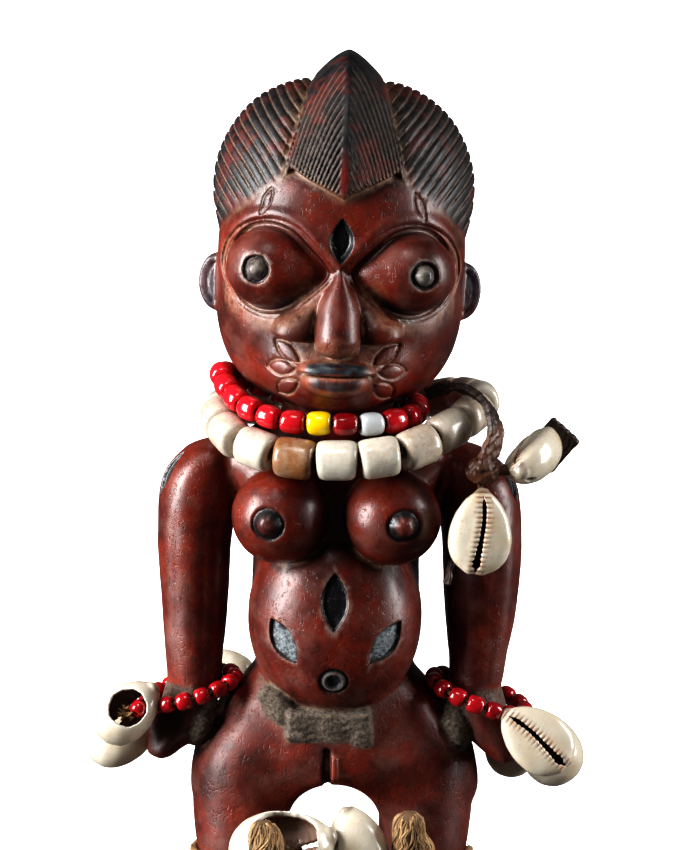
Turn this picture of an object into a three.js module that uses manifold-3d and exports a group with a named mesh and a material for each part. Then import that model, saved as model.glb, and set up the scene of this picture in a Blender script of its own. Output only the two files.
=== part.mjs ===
// A hand-carved hardwood statuette of a standing woman, dressed with bead strings, a leather thong
// and cowrie shells. Millimetres, +Z up, the figure looks along -Y, and the origin is the middle of
// the underside of its base. Right and left are the figure's own, so its left hand is on the +X side.
import * as THREE from 'three';
import { mergeVertices } from 'three/addons/utils/BufferGeometryUtils.js';
import Module from 'manifold-3d';

const wasm = await Module();
wasm.setup();

// Driving dimensions of the carving
const BASE = { rx: 36, ry: 33, height: 12, bevel: 2 };
const FOOT = { x: 20, length: 40, width: 19, height: 12, y: -6 };
const LEG = { x: 25.4, kneeZ: 46, ankleX: 20, ankleZ: 20 };
const PELVIS = { halfWidth: 40.3, widestZ: 66, topZ: 106, halfDepth: 20 };
const CROTCH = { r: 11.6, z: 58.8 };
const BELLY = { rx: 24.4, ry: 21, rz: 27, y: -6, z: 119 };
// The caked block of old offerings below the belly
const CRUST = { size: [20, 6, 7], at: [-0.5, -16.6, 90] };
const BREAST = { r: 13.4, x: 15.4, y: -19, z: 148.6 };
const NIPPLE = { ring: 4.9, r: 3.6, turn: 14, depth: 1.2, rise: 1.6 };
const BELLY_LENS = { length: 12, width: 6, depth: 2 };
const SHOULDER_LENS = { length: 13, width: 6.5, depth: 2 };
const NAVEL = { ring: 4.6, r: 2.4, depth: 1.4, rise: 0.4 };
const ARM = { x: 40.3, wristZ: 97 };
const HAND = { tipX: 48.5, tipY: -6, tipZ: 76 };
const HEAD = { rx: 34.4, ry: 31, up: 42, down: 36, z: 213, boxiness: 2.8 };
const HEAD_TIP = { angle: 1.5, z: 180, x: -0.8 };
const EYE = { x: 19.2, y: -22.5, z: 216.8, rx: 12, ry: 10.8, rz: 11.2, turn: 18, rim: 1.7 };
const PUPIL = { ring: 5.3, r: 3.8, turn: 20, depth: 1.3, rise: 1 };
const NOSE = { bridgeZ: 215.6, tipZ: 200.8, wingX: 12, wingZ: 202.8 };
const MOUTH = { upperZ: 192.2, lowerZ: 186.9 };
const LOBE = { x: 15.8, y: 4, z: 237, rx: 20.6, ry: 27, rz: 29.7, furrows: 11, cut: 0.045, tilt: 43.4 };
const CREST = { halfWidth: 17.5, front: 30, z: 237, rise: 38.6, furrows: 9, cut: 0.036 };
const CREST_DROP = { factor: 0.271, power: 1.45 };
const HAIRLINE = { centreZ: 237, cornerX: 16, cornerZ: 244, earX: 34.6, earZ: 223 };
const SCAR = { length: 7.4, width: 3.4, depth: 1.3 };
// The three cheek scars of one side: x, y, z and slant in degrees
const CHEEK_SCARS = [
  [14.6, -27.4, 196.6, -22],
  [16.4, -26.4, 190.8, 0],
  [14.6, -26.2, 185.6, 22],
];

// Driving dimensions of the dress
const WHITE_BEAD = { r: 5.6, length: 9.6 };
const RED_BEAD = { r: 3.45, length: 6.1 };
const WRIST_BEAD = { r: 2.6, length: 4.6 };
const WHITE_COUNT = 19;
const RED_COUNT = 24;
const WRIST_COUNT = 11;
// The yellow and the milky bead hang on the red string, at these places along it
const YELLOW_AT = 0;
const MILKY_AT = 2;
const STRING_R = 0.8;
const COWRIE = { length: 23, width: 17, height: 11 };
const THONG = { width: 3.6, thickness: 1.6 };
const GAP = 0.3;

const SIDES = [-1, 1];
const vec = (x, y, z) => new THREE.Vector3(x, y, z);
const radians = THREE.MathUtils.degToRad;

// Closed three.js geometry in, solid out, and back again.
function solidOf(geometry) {
  const bare = geometry.index ? geometry.toNonIndexed() : geometry.clone();
  bare.deleteAttribute('normal');
  bare.deleteAttribute('uv');
  const merged = mergeVertices(bare, 1e-4);
  return new wasm.Manifold(
    new wasm.Mesh({
      numProp: 3,
      vertProperties: merged.attributes.position.array,
      triVerts: new Uint32Array(merged.index.array),
    }),
  );
}

function geometryOf(solid) {
  const mesh = solid.getMesh();
  const indexed = new THREE.BufferGeometry();
  indexed.setAttribute('position', new THREE.BufferAttribute(mesh.vertProperties, mesh.numProp));
  indexed.setIndex(new THREE.BufferAttribute(mesh.triVerts, 1));
  const flat = indexed.toNonIndexed();
  flat.computeVertexNormals();
  return flat;
}

const join = (solids) => solids.reduce((sum, solid) => sum.add(solid));
const cut = (solid, tools) => tools.reduce((rest, tool) => rest.subtract(tool), solid);

// Moves every vertex of a geometry by a function of its place.
function reshape(geometry, move) {
  const position = geometry.attributes.position;
  const point = new THREE.Vector3();
  for (let i = 0; i < position.count; i++) {
    point.fromBufferAttribute(position, i);
    move(point);
    position.setXYZ(i, point.x, point.y, point.z);
  }
  return geometry;
}

function placed(geometry, at, turn = [0, 0, 0]) {
  const matrix = new THREE.Matrix4().makeRotationFromEuler(new THREE.Euler(...turn.map(radians), 'XYZ'));
  matrix.setPosition(...at);
  return geometry.applyMatrix4(matrix);
}

// An ellipsoid with its poles up and down, squared off where boxiness is over 2.
function ball({ radii, at, turn, boxiness = 2, cols = 10, rows = 6, down = radii[2] }) {
  const geometry = new THREE.SphereGeometry(1, cols, rows).rotateX(Math.PI / 2);
  reshape(geometry, (p) => {
    const size = (Math.hypot(p.x, p.y) ** boxiness + Math.abs(p.z) ** boxiness) ** (1 / boxiness);
    p.divideScalar(size);
    p.multiply(vec(radii[0], radii[1], p.z < 0 ? down : radii[2]));
  });
  return solidOf(placed(geometry, at, turn));
}

// A closed bar bent through stations of [x, y, z, half width, half depth], listed downwards or upwards.
function limb(stations, { cols, rows, grow = 0 }) {
  const path = new THREE.CatmullRomCurve3(stations.map(([x, y, z]) => vec(x, y, z)));
  const sizes = new THREE.CatmullRomCurve3(stations.map((s) => vec(s[3] + grow, s[4] + grow, 0)));
  const geometry = new THREE.CylinderGeometry(1, 1, 1, cols, rows);
  reshape(geometry, (p) => {
    const t = THREE.MathUtils.clamp(0.5 - p.y, 0, 1);
    const along = path.getTangent(t);
    const front = along.clone().cross(vec(1, 0, 0)).normalize();
    const side = front.clone().cross(along);
    const size = sizes.getPoint(t);
    const centre = path.getPoint(t);
    const [across, ahead] = [p.x * size.x, p.z * size.y];
    p.copy(centre).addScaledVector(side, across).addScaledVector(front, ahead);
  });
  return solidOf(geometry);
}

// The cutter of a knife-made leaf mark: two shallow points back to back, long along its own X.
function leafCut({ length, width, depth, at, turn }) {
  const geometry = new THREE.SphereGeometry(1, 8, 2);
  reshape(geometry, (p) => {
    p.set((p.x * length) / 2, p.y * depth, (p.z * Math.abs(p.z) * width) / 2);
  });
  return solidOf(placed(geometry, at, turn));
}

// A round boss standing in a ring-shaped recess, facing along -Y before it is turned.
function bossInRing({ ring, r, depth, rise, at, turn }) {
  const recess = new THREE.CylinderGeometry(ring, ring, 2 * depth, 8).toNonIndexed();
  const boss = new THREE.SphereGeometry(1, 6, 3);
  reshape(boss, (p) => p.multiply(vec(r, rise + depth, r)));
  return { recess: solidOf(placed(recess, at, turn)), boss: solidOf(placed(boss, at, turn)) };
}

// A dome with such a boss on its front, turned outwards by so many degrees.
function withBoss(dome, { ring, r, turn, depth, rise, side, middle, reach }) {
  const out = vec(side * Math.sin(radians(turn)), -Math.cos(radians(turn)), 0);
  const apex = vec(...middle).addScaledVector(out, reach);
  const facing = { at: apex.toArray(), turn: [0, 0, side * turn] };
  const { recess, boss } = bossInRing({ ring, r, depth, rise, ...facing });
  return dome.subtract(recess).add(boss);
}

// Head, upright in its own frame before it is tipped to one side
function face() {
  const skull = ball({
    radii: [HEAD.rx, HEAD.ry, HEAD.up],
    down: HEAD.down,
    at: [0, 0, HEAD.z],
    boxiness: HEAD.boxiness,
    cols: 17,
    rows: 8,
  });
  const jaw = ball({ radii: [19.5, 14.5, 12.5], at: [0, -17.5, 190.5], cols: 10, rows: 6 });
  const sockets = [];
  const eyes = [];
  for (const side of SIDES) {
    const saucer = [EYE.rx + EYE.rim, 2.6, EYE.rz + EYE.rim];
    const socketAt = [side * EYE.x, -26.2, EYE.z];
    sockets.push(ball({ radii: saucer, at: socketAt, turn: [0, 0, side * 31], rows: 5 }));
    const corner = { length: 20, width: 8, depth: 2, at: [side * 9.5, -30, 215.6] };
    sockets.push(leafCut({ ...corner, turn: [0, side * 4, side * 15] }));
    const middle = [side * EYE.x, EYE.y, EYE.z];
    const dome = ball({ radii: [EYE.rx, EYE.ry, EYE.rz], at: middle, turn: [0, 0, side * EYE.turn] });
    eyes.push(withBoss(dome, { ...PUPIL, side, middle, reach: EYE.ry + 0.1 }));
  }
  const nose = join([
    limb(
      [
        [0, -26.5, 218, 1.6, 2.4],
        [0, -29.5, NOSE.bridgeZ, 1.8, 2.8],
        [0, -32.5, 207, 4.6, 4.4],
        [0, -33, NOSE.tipZ, 6.5, 6.2],
        [0, -31.5, 195.4, 5.2, 4.8],
      ],
      { cols: 7, rows: 4 },
    ),
    ...SIDES.map((side) => {
      const at = [side * NOSE.wingX, -27.6, NOSE.wingZ];
      return ball({ radii: [6.4, 5.6, 5.2], at, turn: [0, side * 10, side * 18], cols: 8, rows: 4 });
    }),
  ]);
  const lips = join([
    ball({ radii: [10.2, 6, 2.7], at: [0, -29, MOUTH.upperZ], cols: 8, rows: 4 }),
    ball({ radii: [9, 5.8, 2.9], at: [0, -28.4, MOUTH.lowerZ], cols: 8, rows: 4 }),
    ball({ radii: [12, 7.5, 6], at: [0, -20.5, 183], cols: 8, rows: 4 }),
  ]);
  const ears = join(
    SIDES.map((side) => {
      const turn = [0, side * 4, side * -20];
      const flap = ball({ radii: [6, 3.2, 8.3], at: [side * 33, 2, 210], turn, cols: 8, rows: 4 });
      const hollow = ball({ radii: [2.6, 2, 5.4], at: [side * 36, -1.2, 210], cols: 6, rows: 3 });
      return flap.subtract(hollow);
    }),
  );
  return join([cut(join([skull, jaw, ears]), sockets), ...eyes, nose, lips]);
}

// A side lobe of the hair: rings about a tilted axis, every other ring cut in like a combed furrow.
function sideLobe(side) {
  const rings = 2 * LOBE.furrows;
  const axis = vec(-side * Math.sin(radians(LOBE.tilt)), 0, Math.cos(radians(LOBE.tilt)));
  const back = vec(0, 1, 0);
  const across = axis.clone().cross(back);
  const geometry = new THREE.CylinderGeometry(1, 1, 2, 10, rings);
  reshape(geometry, (p) => {
    const ring = Math.round(((p.y + 1) / 2) * rings);
    const reach = p.y * 0.985;
    const radius = Math.sqrt(1 - reach ** 2) * (ring % 2 ? 1 - LOBE.cut : 1);
    const [u, v] = [p.x * radius, p.z * radius];
    p.copy(axis).multiplyScalar(reach).addScaledVector(across, u).addScaledVector(back, v);
    p.multiply(vec(LOBE.rx, LOBE.ry, LOBE.rz)).add(vec(side * LOBE.x, LOBE.y, LOBE.z));
  });
  return solidOf(geometry);
}

// The crest: one ridge line over the head from brow to nape, lowered more the further out it goes.
function crest() {
  const cols = 8 * CREST.furrows;
  const rows = 4;
  const geometry = new THREE.CylinderGeometry(1, 1, 2, cols, rows);
  reshape(geometry, (p) => {
    const out = Math.abs(p.y) ** 1.2 * CREST.halfWidth;
    const column = Math.round((Math.atan2(p.x, p.z) / (2 * Math.PI)) * cols);
    const onAxis = Math.hypot(p.x, p.z) < 0.5;
    const furrow = !onAxis && column % 2 !== 0 ? CREST.cut * Math.min(1, out / 3) : 0;
    const size = 1 - furrow;
    const drop = CREST_DROP.factor * out ** CREST_DROP.power;
    p.set(Math.sign(p.y) * out, -p.x * size * CREST.front, CREST.z + p.z * size * CREST.rise - drop);
  });
  return solidOf(geometry);
}

// The bare forehead and temples in front of the hairline, as a block to cut away from the hair.
function bareFront() {
  const { centreZ, cornerX, cornerZ, earX, earZ } = HAIRLINE;
  const outline = new THREE.Shape([
    new THREE.Vector2(-60, 150),
    new THREE.Vector2(60, 150),
    new THREE.Vector2(60, earZ - 3),
    new THREE.Vector2(earX, earZ),
    new THREE.Vector2(cornerX, cornerZ),
    new THREE.Vector2(0, centreZ),
    new THREE.Vector2(-cornerX, cornerZ),
    new THREE.Vector2(-earX, earZ),
    new THREE.Vector2(-60, earZ - 3),
  ]);
  const depth = 62;
  const geometry = new THREE.ExtrudeGeometry(outline, { depth, bevelEnabled: false });
  return solidOf(geometry.rotateX(Math.PI / 2));
}

function faceMarks() {
  const marks = [leafCut({ length: 11.5, width: 6, depth: 2, at: [0, -30, 226], turn: [-8, 90, 0] })];
  for (const side of SIDES) {
    const temple = { length: 6, width: 3, depth: 1.5, at: [side * 23.5, -22.5, 234] };
    marks.push(leafCut({ ...temple, turn: [0, side * 35, side * 40] }));
    for (const [x, y, z, slant] of CHEEK_SCARS) {
      marks.push(leafCut({ ...SCAR, at: [side * x, y, z], turn: [0, side * slant, side * 32] }));
    }
  }
  return marks;
}

function head() {
  const hair = join([sideLobe(-1), sideLobe(1), crest()]).subtract(bareFront());
  const upright = cut(face(), faceMarks()).add(hair);
  const tip = new THREE.Matrix4()
    .makeTranslation(HEAD_TIP.x, 0, HEAD_TIP.z)
    .multiply(new THREE.Matrix4().makeRotationY(radians(HEAD_TIP.angle)))
    .multiply(new THREE.Matrix4().makeTranslation(0, 0, -HEAD_TIP.z));
  return solidOf(geometryOf(upright).applyMatrix4(tip));
}

// Body
function leg(side, grow) {
  return limb(
    [
      [side * 20, 2, 92, 8, 10],
      [side * 23, 2, 80, 15, 16.5],
      [side * LEG.x, 0, 64, 14.4, 15.5],
      [side * 24.6, -3, LEG.kneeZ, 12.8, 13.5],
      [side * 21.5, 1, 32, 11, 12],
      [side * LEG.ankleX, 1, LEG.ankleZ, 9, 10],
      [side * LEG.ankleX, 1, BASE.height - 1, 9, 10],
    ],
    { cols: 10, rows: 5, grow },
  );
}

function foot(side) {
  const block = ball({
    radii: [FOOT.width / 2, FOOT.length / 2, FOOT.height],
    down: BASE.height / 2,
    at: [side * FOOT.x, FOOT.y, BASE.height],
    cols: 8,
    rows: 4,
  });
  const toeGap = { length: 12, width: 1.6, depth: 6, turn: [0, 90, 90] };
  const toeGaps = [-4, 0, 4].map((x) =>
    leafCut({ ...toeGap, at: [side * FOOT.x + x, FOOT.y - 18, BASE.height + 2] }),
  );
  return cut(block, toeGaps);
}

function base() {
  const { rx, ry, height, bevel } = BASE;
  const profile = [
    new THREE.Vector2(0, 0),
    new THREE.Vector2(1, 0),
    new THREE.Vector2(1, height - bevel),
    new THREE.Vector2(1 - bevel / rx, height),
    new THREE.Vector2(0, height),
  ];
  return solidOf(new THREE.LatheGeometry(profile, 20).rotateX(Math.PI / 2).scale(rx, ry, 1));
}

// The left arm stands out a little further.
function arm(side) {
  const lean = side < 0 ? 0 : 0.8;
  return limb(
    [
      [side * 33.5, 2, 166.5, 3.5, 6],
      [side * 35.4, 1.5, 163.4, 7.8, 10],
      [side * (38 + lean), 1, 155, 11, 12],
      [side * (ARM.x - 0.5 + lean), 0, 139, 10.3 + lean, 10.6],
      [side * (ARM.x - 0.6 + lean), -1, 120, 9.1 + lean, 9.2],
      [side * (ARM.x - 0.6), -2, 106, 8, 8.2],
      [side * (ARM.x - 0.8), -2.5, ARM.wristZ, 7.3, 7.6],
    ],
    { cols: 10, rows: 6 },
  );
}

function hand(side) {
  return limb(
    [
      [side * (ARM.x - 1), -2.5, 100, 7.2, 7.4],
      [side * (ARM.x + 0.6), -3.5, 92, 8, 7.2],
      [side * (ARM.x + 4.2), -5, 84, 7, 6],
      [side * (HAND.tipX - 0.6), HAND.tipY, 78.5, 4.6, 4.6],
      [side * HAND.tipX, HAND.tipY, HAND.tipZ, 2.6, 3],
    ],
    { cols: 8, rows: 4 },
  );
}

function trunk() {
  const { halfWidth, widestZ, topZ, halfDepth } = PELVIS;
  const pelvis = limb(
    [
      [0, 3, topZ, 19, 15],
      [0, 3, 99, 25.5, 18],
      [0.4, 3, 88, 34.8, halfDepth],
      [1, 3, 76, 39.6, halfDepth + 1],
      [1, 2, widestZ, halfWidth - 1.2, halfDepth - 4],
      [0.6, 1, 60, 32, 12],
    ],
    { cols: 14, rows: 5 },
  );
  const arch = new THREE.CylinderGeometry(CROTCH.r, CROTCH.r, 80, 10).toNonIndexed();
  reshape(arch, (p) => p.set(p.x, p.y, p.z * (p.z < 0 ? 2 : 1.1)));
  const legGap = solidOf(placed(arch, [0.6, 0, CROTCH.z]));
  const chest = limb(
    [
      [0, 2, 176, 13, 12],
      [0, 2, 170, 24, 15],
      [0, 1, 163, 34, 17.5],
      [0, 0, 150, 28, 19.5],
      [0, 1, 138, 23.8, 18.6],
      [0, 1, 120, 23.5, 18],
      [0, 2, 100, 22, 17],
    ],
    { cols: 12, rows: 5 },
  );
  const neck = limb([[0, 1, 190, 15, 15], [0, 1, 165, 15.5, 15]], { cols: 8, rows: 1 });
  const bellyRadii = [BELLY.rx, BELLY.ry, BELLY.rz];
  const belly = ball({ radii: bellyRadii, at: [0, BELLY.y, BELLY.z], cols: 14, rows: 7 });
  const seat = SIDES.map((side) => ball({ radii: [17, 14, 17], at: [side * 16, 13, 80], cols: 8, rows: 5 }));
  const crust = solidOf(placed(new THREE.BoxGeometry(...CRUST.size).toNonIndexed(), CRUST.at, [12, 0, 0]));
  return join([pelvis, chest, neck, belly, ...seat, crust]).subtract(legGap);
}

function breasts() {
  return SIDES.map((side) => {
    const middle = [side * BREAST.x, BREAST.y, BREAST.z];
    const dome = ball({ radii: [BREAST.r, BREAST.r, BREAST.r], at: middle });
    return withBoss(dome, { ...NIPPLE, side, middle, reach: BREAST.r - 0.2 });
  });
}

function bodyMarks() {
  const navel = bossInRing({ ...NAVEL, at: [0, -22.8, 103.6], turn: [35, 0, 0] });
  return {
    cuts: [
      leafCut({ length: 15.5, width: 7.2, depth: 2.4, at: [0, -26.9, 125.6], turn: [8, 90, 0] }),
      ...SIDES.map((side) =>
        leafCut({ ...BELLY_LENS, at: [side * 14.2, -22.4, 113.8], turn: [0, side * 58, side * 32] }),
      ),
      ...SIDES.map((side) =>
        leafCut({ ...SHOULDER_LENS, at: [side * 47.3, -3, 157], turn: [0, 85, side * 72] }),
      ),
      leafCut({ length: 9, width: 2.4, depth: 3, at: [0, -18.6, 75], turn: [0, 90, 0] }),
      navel.recess,
    ],
    bosses: [navel.boss],
  };
}

function figure() {
  const parts = [trunk(), ...breasts(), base()];
  for (const side of SIDES) {
    parts.push(leg(side, 0), foot(side), arm(side), hand(side));
  }
  const marks = bodyMarks();
  return join([cut(join(parts), marks.cuts), ...marks.bosses, head()]);
}

// Strings and shells
// Turns a shape whose length runs along Z to point along a direction, and places it.
function aimed(geometry, at, along) {
  const turn = new THREE.Quaternion().setFromUnitVectors(vec(0, 0, 1), along.clone().normalize());
  return solidOf(geometry.applyQuaternion(turn).translate(at.x, at.y, at.z));
}

// A straight piece of string between two points.
function thread(from, to) {
  const along = to.clone().sub(from);
  const rod = new THREE.CylinderGeometry(STRING_R, STRING_R, along.length(), 4).rotateX(Math.PI / 2);
  return aimed(rod, from.clone().add(to).multiplyScalar(0.5), along);
}

// A bead of its own, bored so that the string passes with a gap.
function boredBead({ r, length }, { at, along }) {
  const [half, bore] = [length / 2, STRING_R + GAP];
  const profile = [
    new THREE.Vector2(bore, -half),
    new THREE.Vector2(0.78 * r, -half),
    new THREE.Vector2(r, -0.4 * half),
    new THREE.Vector2(r, 0.4 * half),
    new THREE.Vector2(0.78 * r, half),
    new THREE.Vector2(bore, half),
    new THREE.Vector2(bore, -half),
  ];
  return aimed(new THREE.LatheGeometry(profile, 8).rotateX(Math.PI / 2), at, along);
}

// A place on a closed string, as a share of its length, with its direction.
function spotOn(loop, share) {
  return { at: loop.getPointAt(share), along: loop.getTangentAt(share) };
}

// A closed string with its beads: one ring of thread between two rings for each bead. Beads that are
// left out leave the bare thread.
function beadString(loop, count, { r, length }, sides, leftOut = []) {
  const tube = 0.25;
  const rings = 3 * count;
  const geometry = new THREE.TorusGeometry(1, tube, sides, rings);
  reshape(geometry, (p) => {
    const ring = (Math.round((Math.atan2(p.y, p.x) / (2 * Math.PI)) * rings) + rings) % rings;
    const number = Math.floor((ring + 1) / 3) % count;
    const part = ((ring + 1) % 3) - 1;
    const onThread = part === 1;
    const { at, along } = spotOn(loop, ((number + (onThread ? 0.5 : 0)) / count) % 1);
    const outward = along.clone().cross(vec(0, 0, 1)).normalize();
    const upward = outward.clone().cross(along);
    const size = (onThread || leftOut.includes(number) ? STRING_R : r) / tube;
    const shift = onThread ? 0 : ((2 * part + 1) * length) / 2;
    const ahead = (Math.hypot(p.x, p.y) - 1) * size;
    const up = p.z * size;
    p.copy(at).addScaledVector(along, shift).addScaledVector(outward, ahead).addScaledVector(upward, up);
  });
  return solidOf(geometry);
}

const WHITE_LOOP = new THREE.CatmullRomCurve3(
  [
    vec(0, -32.4, 166.4),
    vec(17, -30.4, 168.2),
    vec(31, -20, 173.6),
    vec(39.6, -4, 178.4),
    vec(33, 15, 177.5),
    vec(14, 27.5, 172),
    vec(-12, 27.5, 172),
    vec(-28.8, 17, 173.4),
    vec(-33.2, -4, 174.2),
    vec(-27.6, -21.4, 170),
    vec(-15.5, -30, 167),
  ],
  true,
);

const RED_LOOP = new THREE.CatmullRomCurve3(
  [
    vec(-5, -28.4, 175.8),
    vec(8, -27.8, 175.6),
    vec(18.5, -21, 176.4),
    vec(21.6, -10, 176.4),
    vec(21.8, 3, 176.6),
    vec(16, 15.8, 176.4),
    vec(1, 20.8, 175.4),
    vec(-16, 14.5, 178),
    vec(-28.8, 8.5, 182.8),
    vec(-32.6, -1.5, 185.4),
    vec(-29.8, -12, 181.6),
    vec(-24, -20.8, 178.4),
    vec(-15, -26.6, 176.2),
  ],
  true,
);

// A cowrie: an egg-shaped shell, flat on the mouth side, with its long mouth cut in. Its narrow end
// points along `tip`, and its mouth looks along `mouth`.
function cowrieShape({ at, tip, mouth, size = 1, openBack = 0 }, grow = 0) {
  const shell = new THREE.SphereGeometry(1, 8, 5);
  const { length, width, height } = COWRIE;
  reshape(shell, (p) => {
    const taper = 1 - 0.2 * p.y;
    const side = p.z > 0 ? 0.32 : 0.68;
    p.set((p.x * width * taper) / 2, (p.y * length) / 2, p.z * height * side * taper);
  });
  const slot = new THREE.SphereGeometry(1, 6, 2);
  reshape(slot, (p) => p.set(p.x * Math.abs(p.x) * 1.4, -p.z * length * 0.46, p.y * 3 + height * 0.32));
  let solid = grow ? solidOf(shell) : solidOf(shell).subtract(solidOf(slot));
  if (openBack && !grow) {
    const hole = new THREE.SphereGeometry(openBack, 7, 4);
    solid = solid.subtract(solidOf(hole.translate(0, 1.5, -height * 0.66)));
  }
  const y = vec(...tip).normalize();
  const x = y.clone().cross(vec(...mouth)).normalize();
  const z = x.clone().cross(y);
  const scale = size * (1 + (2 * grow) / height);
  const frame = new THREE.Matrix4().makeBasis(x, y, z).scale(vec(scale, scale, scale)).setPosition(...at);
  return solidOf(geometryOf(solid).applyMatrix4(frame));
}

// A strip of leather along a route, flat side outwards.
function strip(points, width, thickness, steps) {
  const section = new THREE.Shape([
    new THREE.Vector2(-thickness / 2, -width / 2),
    new THREE.Vector2(thickness / 2, -width / 2),
    new THREE.Vector2(thickness / 2, width / 2),
    new THREE.Vector2(-thickness / 2, width / 2),
  ]);
  const route = new THREE.CatmullRomCurve3(points.map((point) => vec(...point)));
  return solidOf(new THREE.ExtrudeGeometry(section, { steps, extrudePath: route, bevelEnabled: false }));
}

const THONG_OVER = [
  [25, -13, 182.2],
  [29.5, -13.5, 184],
  [35, -16, 183.9],
  [40.6, -21, 180.4],
  [43, -25, 173.5],
  [41, -26.5, 167],
  [39.5, -25.5, 162.5],
];
const THONG_SIDE = [
  [39, -25, 163],
  [45, -23.5, 162.6],
  [50, -20.5, 164.4],
  [52.6, -17, 165.2],
];
const THONG_DOWN = [
  [39, -24.5, 161],
  [39.2, -26.5, 157],
  [39.2, -29, 153.5],
  [39.2, -30, 149.5],
];
const TOGGLE = { at: [58.6, -4.6, 167.4], size: [9.6, 3, 11.6], turn: [12, 38, -20] };
const KNOT = { at: [39.5, -24.5, 163], radii: [5.4, 4, 4.6] };

// The thong's two stretches, knotted, ending at the shells that hang on it.
function leatherThong() {
  const { width, thickness } = THONG;
  const leather = join([
    strip(THONG_OVER, width + 1, thickness, 8),
    strip(THONG_SIDE, width, thickness, 4),
    strip(THONG_DOWN, width - 1, thickness, 2),
    ball({ ...KNOT, cols: 7, rows: 4 }),
  ]);
  return cut(leather, Object.values(NECK_SHELLS).map((shell) => cowrieShape(shell, GAP)));
}

function leatherToggle() {
  const toggle = solidOf(placed(new THREE.BoxGeometry(...TOGGLE.size), TOGGLE.at, TOGGLE.turn));
  return toggle.subtract(cowrieShape(NECK_SHELLS.side_cowrie, GAP));
}

const NECK_SHELLS = {
  hanging_cowrie: { at: [39.2, -29.5, 146.6], tip: [0.04, 0, 1], mouth: [0.1, -1, 0.05] },
  side_cowrie: { at: [52.8, -16.6, 166], tip: [-0.3, -0.93, -0.2], mouth: [-0.6, 0.1, 0.7], size: 1 },
};

// Wrists
const WRISTLET = {
  right: { x: -40.6, y: -2.5, z: 95.2, rx: 12.4, ry: 11.6, slope: 0.3, ahead: 0.05 },
  left: { x: 41, y: -3, z: 95, rx: 13, ry: 12, slope: -0.34, ahead: 0.05 },
};
const WRIST_SHELLS = {
  right: [
    { at: [-57.8, -12.4, 90.8], tip: [0.6, 0.1, 0.5], mouth: [-0.2, 0.9, -0.45], size: 0.92, openBack: 5.6 },
    { at: [-60.4, -1, 79.4], tip: [0.9, 0.1, 0.25], mouth: [0, 0.8, -0.6], size: 0.9 },
    { at: [-43, 17.6, 90], tip: [0.8, -0.3, 0.3], mouth: [0.3, 0.9, 0], size: 0.8 },
    { at: [-30.5, 25.8, 94], tip: [-0.9, 0.1, 0.6], mouth: [0.2, 0.9, 0.2], size: 0.7 },
  ],
  left: [
    { at: [56.8, -16, 85.6], tip: [-0.78, 0, 0.62], mouth: [0.15, -1, 0.2], size: 1 },
    { at: [61.4, 2, 78.6], tip: [-0.45, -0.1, 0.8], mouth: [0.1, 0.9, -0.2], size: 1.08 },
    { at: [50.8, 11, 76.5], tip: [-0.2, -0.3, 0.9], mouth: [0.3, 0.9, -0.1], size: 0.85 },
  ],
};

function wristLoop({ x, y, z, rx, ry, slope, ahead }) {
  const points = Array.from({ length: 16 }, (_, i) => {
    const angle = (2 * Math.PI * i) / 16;
    const [dx, dy] = [rx * Math.cos(angle), ry * Math.sin(angle)];
    return vec(x + dx, y + dy, z + slope * dx + ahead * dy);
  });
  return new THREE.CatmullRomCurve3(points, true);
}

// A wrist's bead string with the threads that tie its shells on, clear of the shells.
function wristlet(side) {
  const loop = wristLoop(WRISTLET[side]);
  const loopPoints = loop.getPoints(64);
  const threads = WRIST_SHELLS[side].map((shell) => {
    const centre = vec(...shell.at);
    loopPoints.sort((a, b) => a.distanceTo(centre) - b.distanceTo(centre));
    return thread(loopPoints[0], centre);
  });
  const beads = beadString(loop, WRIST_COUNT, WRIST_BEAD, 5);
  return cut(join([beads, ...threads]), WRIST_SHELLS[side].map((shell) => cowrieShape(shell, GAP)));
}

// Shins
const LEG_CORD = { z: 45.5, height: 11, thickness: 3 };
const LEG_SHELLS = {
  right_leg_cut_cowrie: {
    at: [-13.6, -28, 56],
    tip: [1, 0, 0.25],
    mouth: [0, 0.75, -0.6],
    size: 1.3,
    openBack: 7.4,
  },
  left_leg_cowrie: { at: [7.2, -23.6, 56.8], tip: [-0.32, 0, 1], mouth: [0.1, 1, 0], size: 0.94 },
};
// Frayed bunches of fibre that plug the cut shell and tie up the left leg's shell
const LEG_KNOTS = {
  right_leg_fibre_knot: [
    [-18.6, -41, 68.2, 1.6, 1.4],
    [-18.2, -41, 66, 4.2, 3],
    [-17.6, -41, 61, 5.2, 3.8],
    [-18.4, -41, 54.6, 4.4, 3],
  ],
  left_leg_fibre_knot: [
    [21.4, -26, 67, 1.6, 1.6],
    [21.4, -26, 65, 4.4, 4],
    [21.6, -25.6, 60.6, 5.2, 4.6],
    [22.8, -25, 56.6, 6.4, 4.4],
    [23.4, -24.6, 51, 6, 3.8],
  ],
};

// A bundle of cord wound round a shin, open inside by the shin's own shape.
function legCord(side) {
  const { z, height, thickness } = LEG_CORD;
  const bulge = [
    [z + height / 2, 0.2],
    [z + height / 4, 0.9],
    [z, 1],
    [z - height / 4, 0.9],
    [z - height / 2, 0.2],
  ];
  const stations = bulge.map(([level, share]) => {
    const swell = thickness * share;
    return [side * 24.4, -2.6, level, 13.2 + swell, 13.6 + swell];
  });
  return limb(stations, { cols: 10, rows: 3 }).subtract(leg(side, GAP));
}

const group = new THREE.Group();

function add(name, solid, { color, roughness }) {
  const material = new THREE.MeshStandardMaterial({ color, roughness });
  const mesh = new THREE.Mesh(geometryOf(solid), material);
  mesh.name = name;
  group.add(mesh);
}

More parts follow.
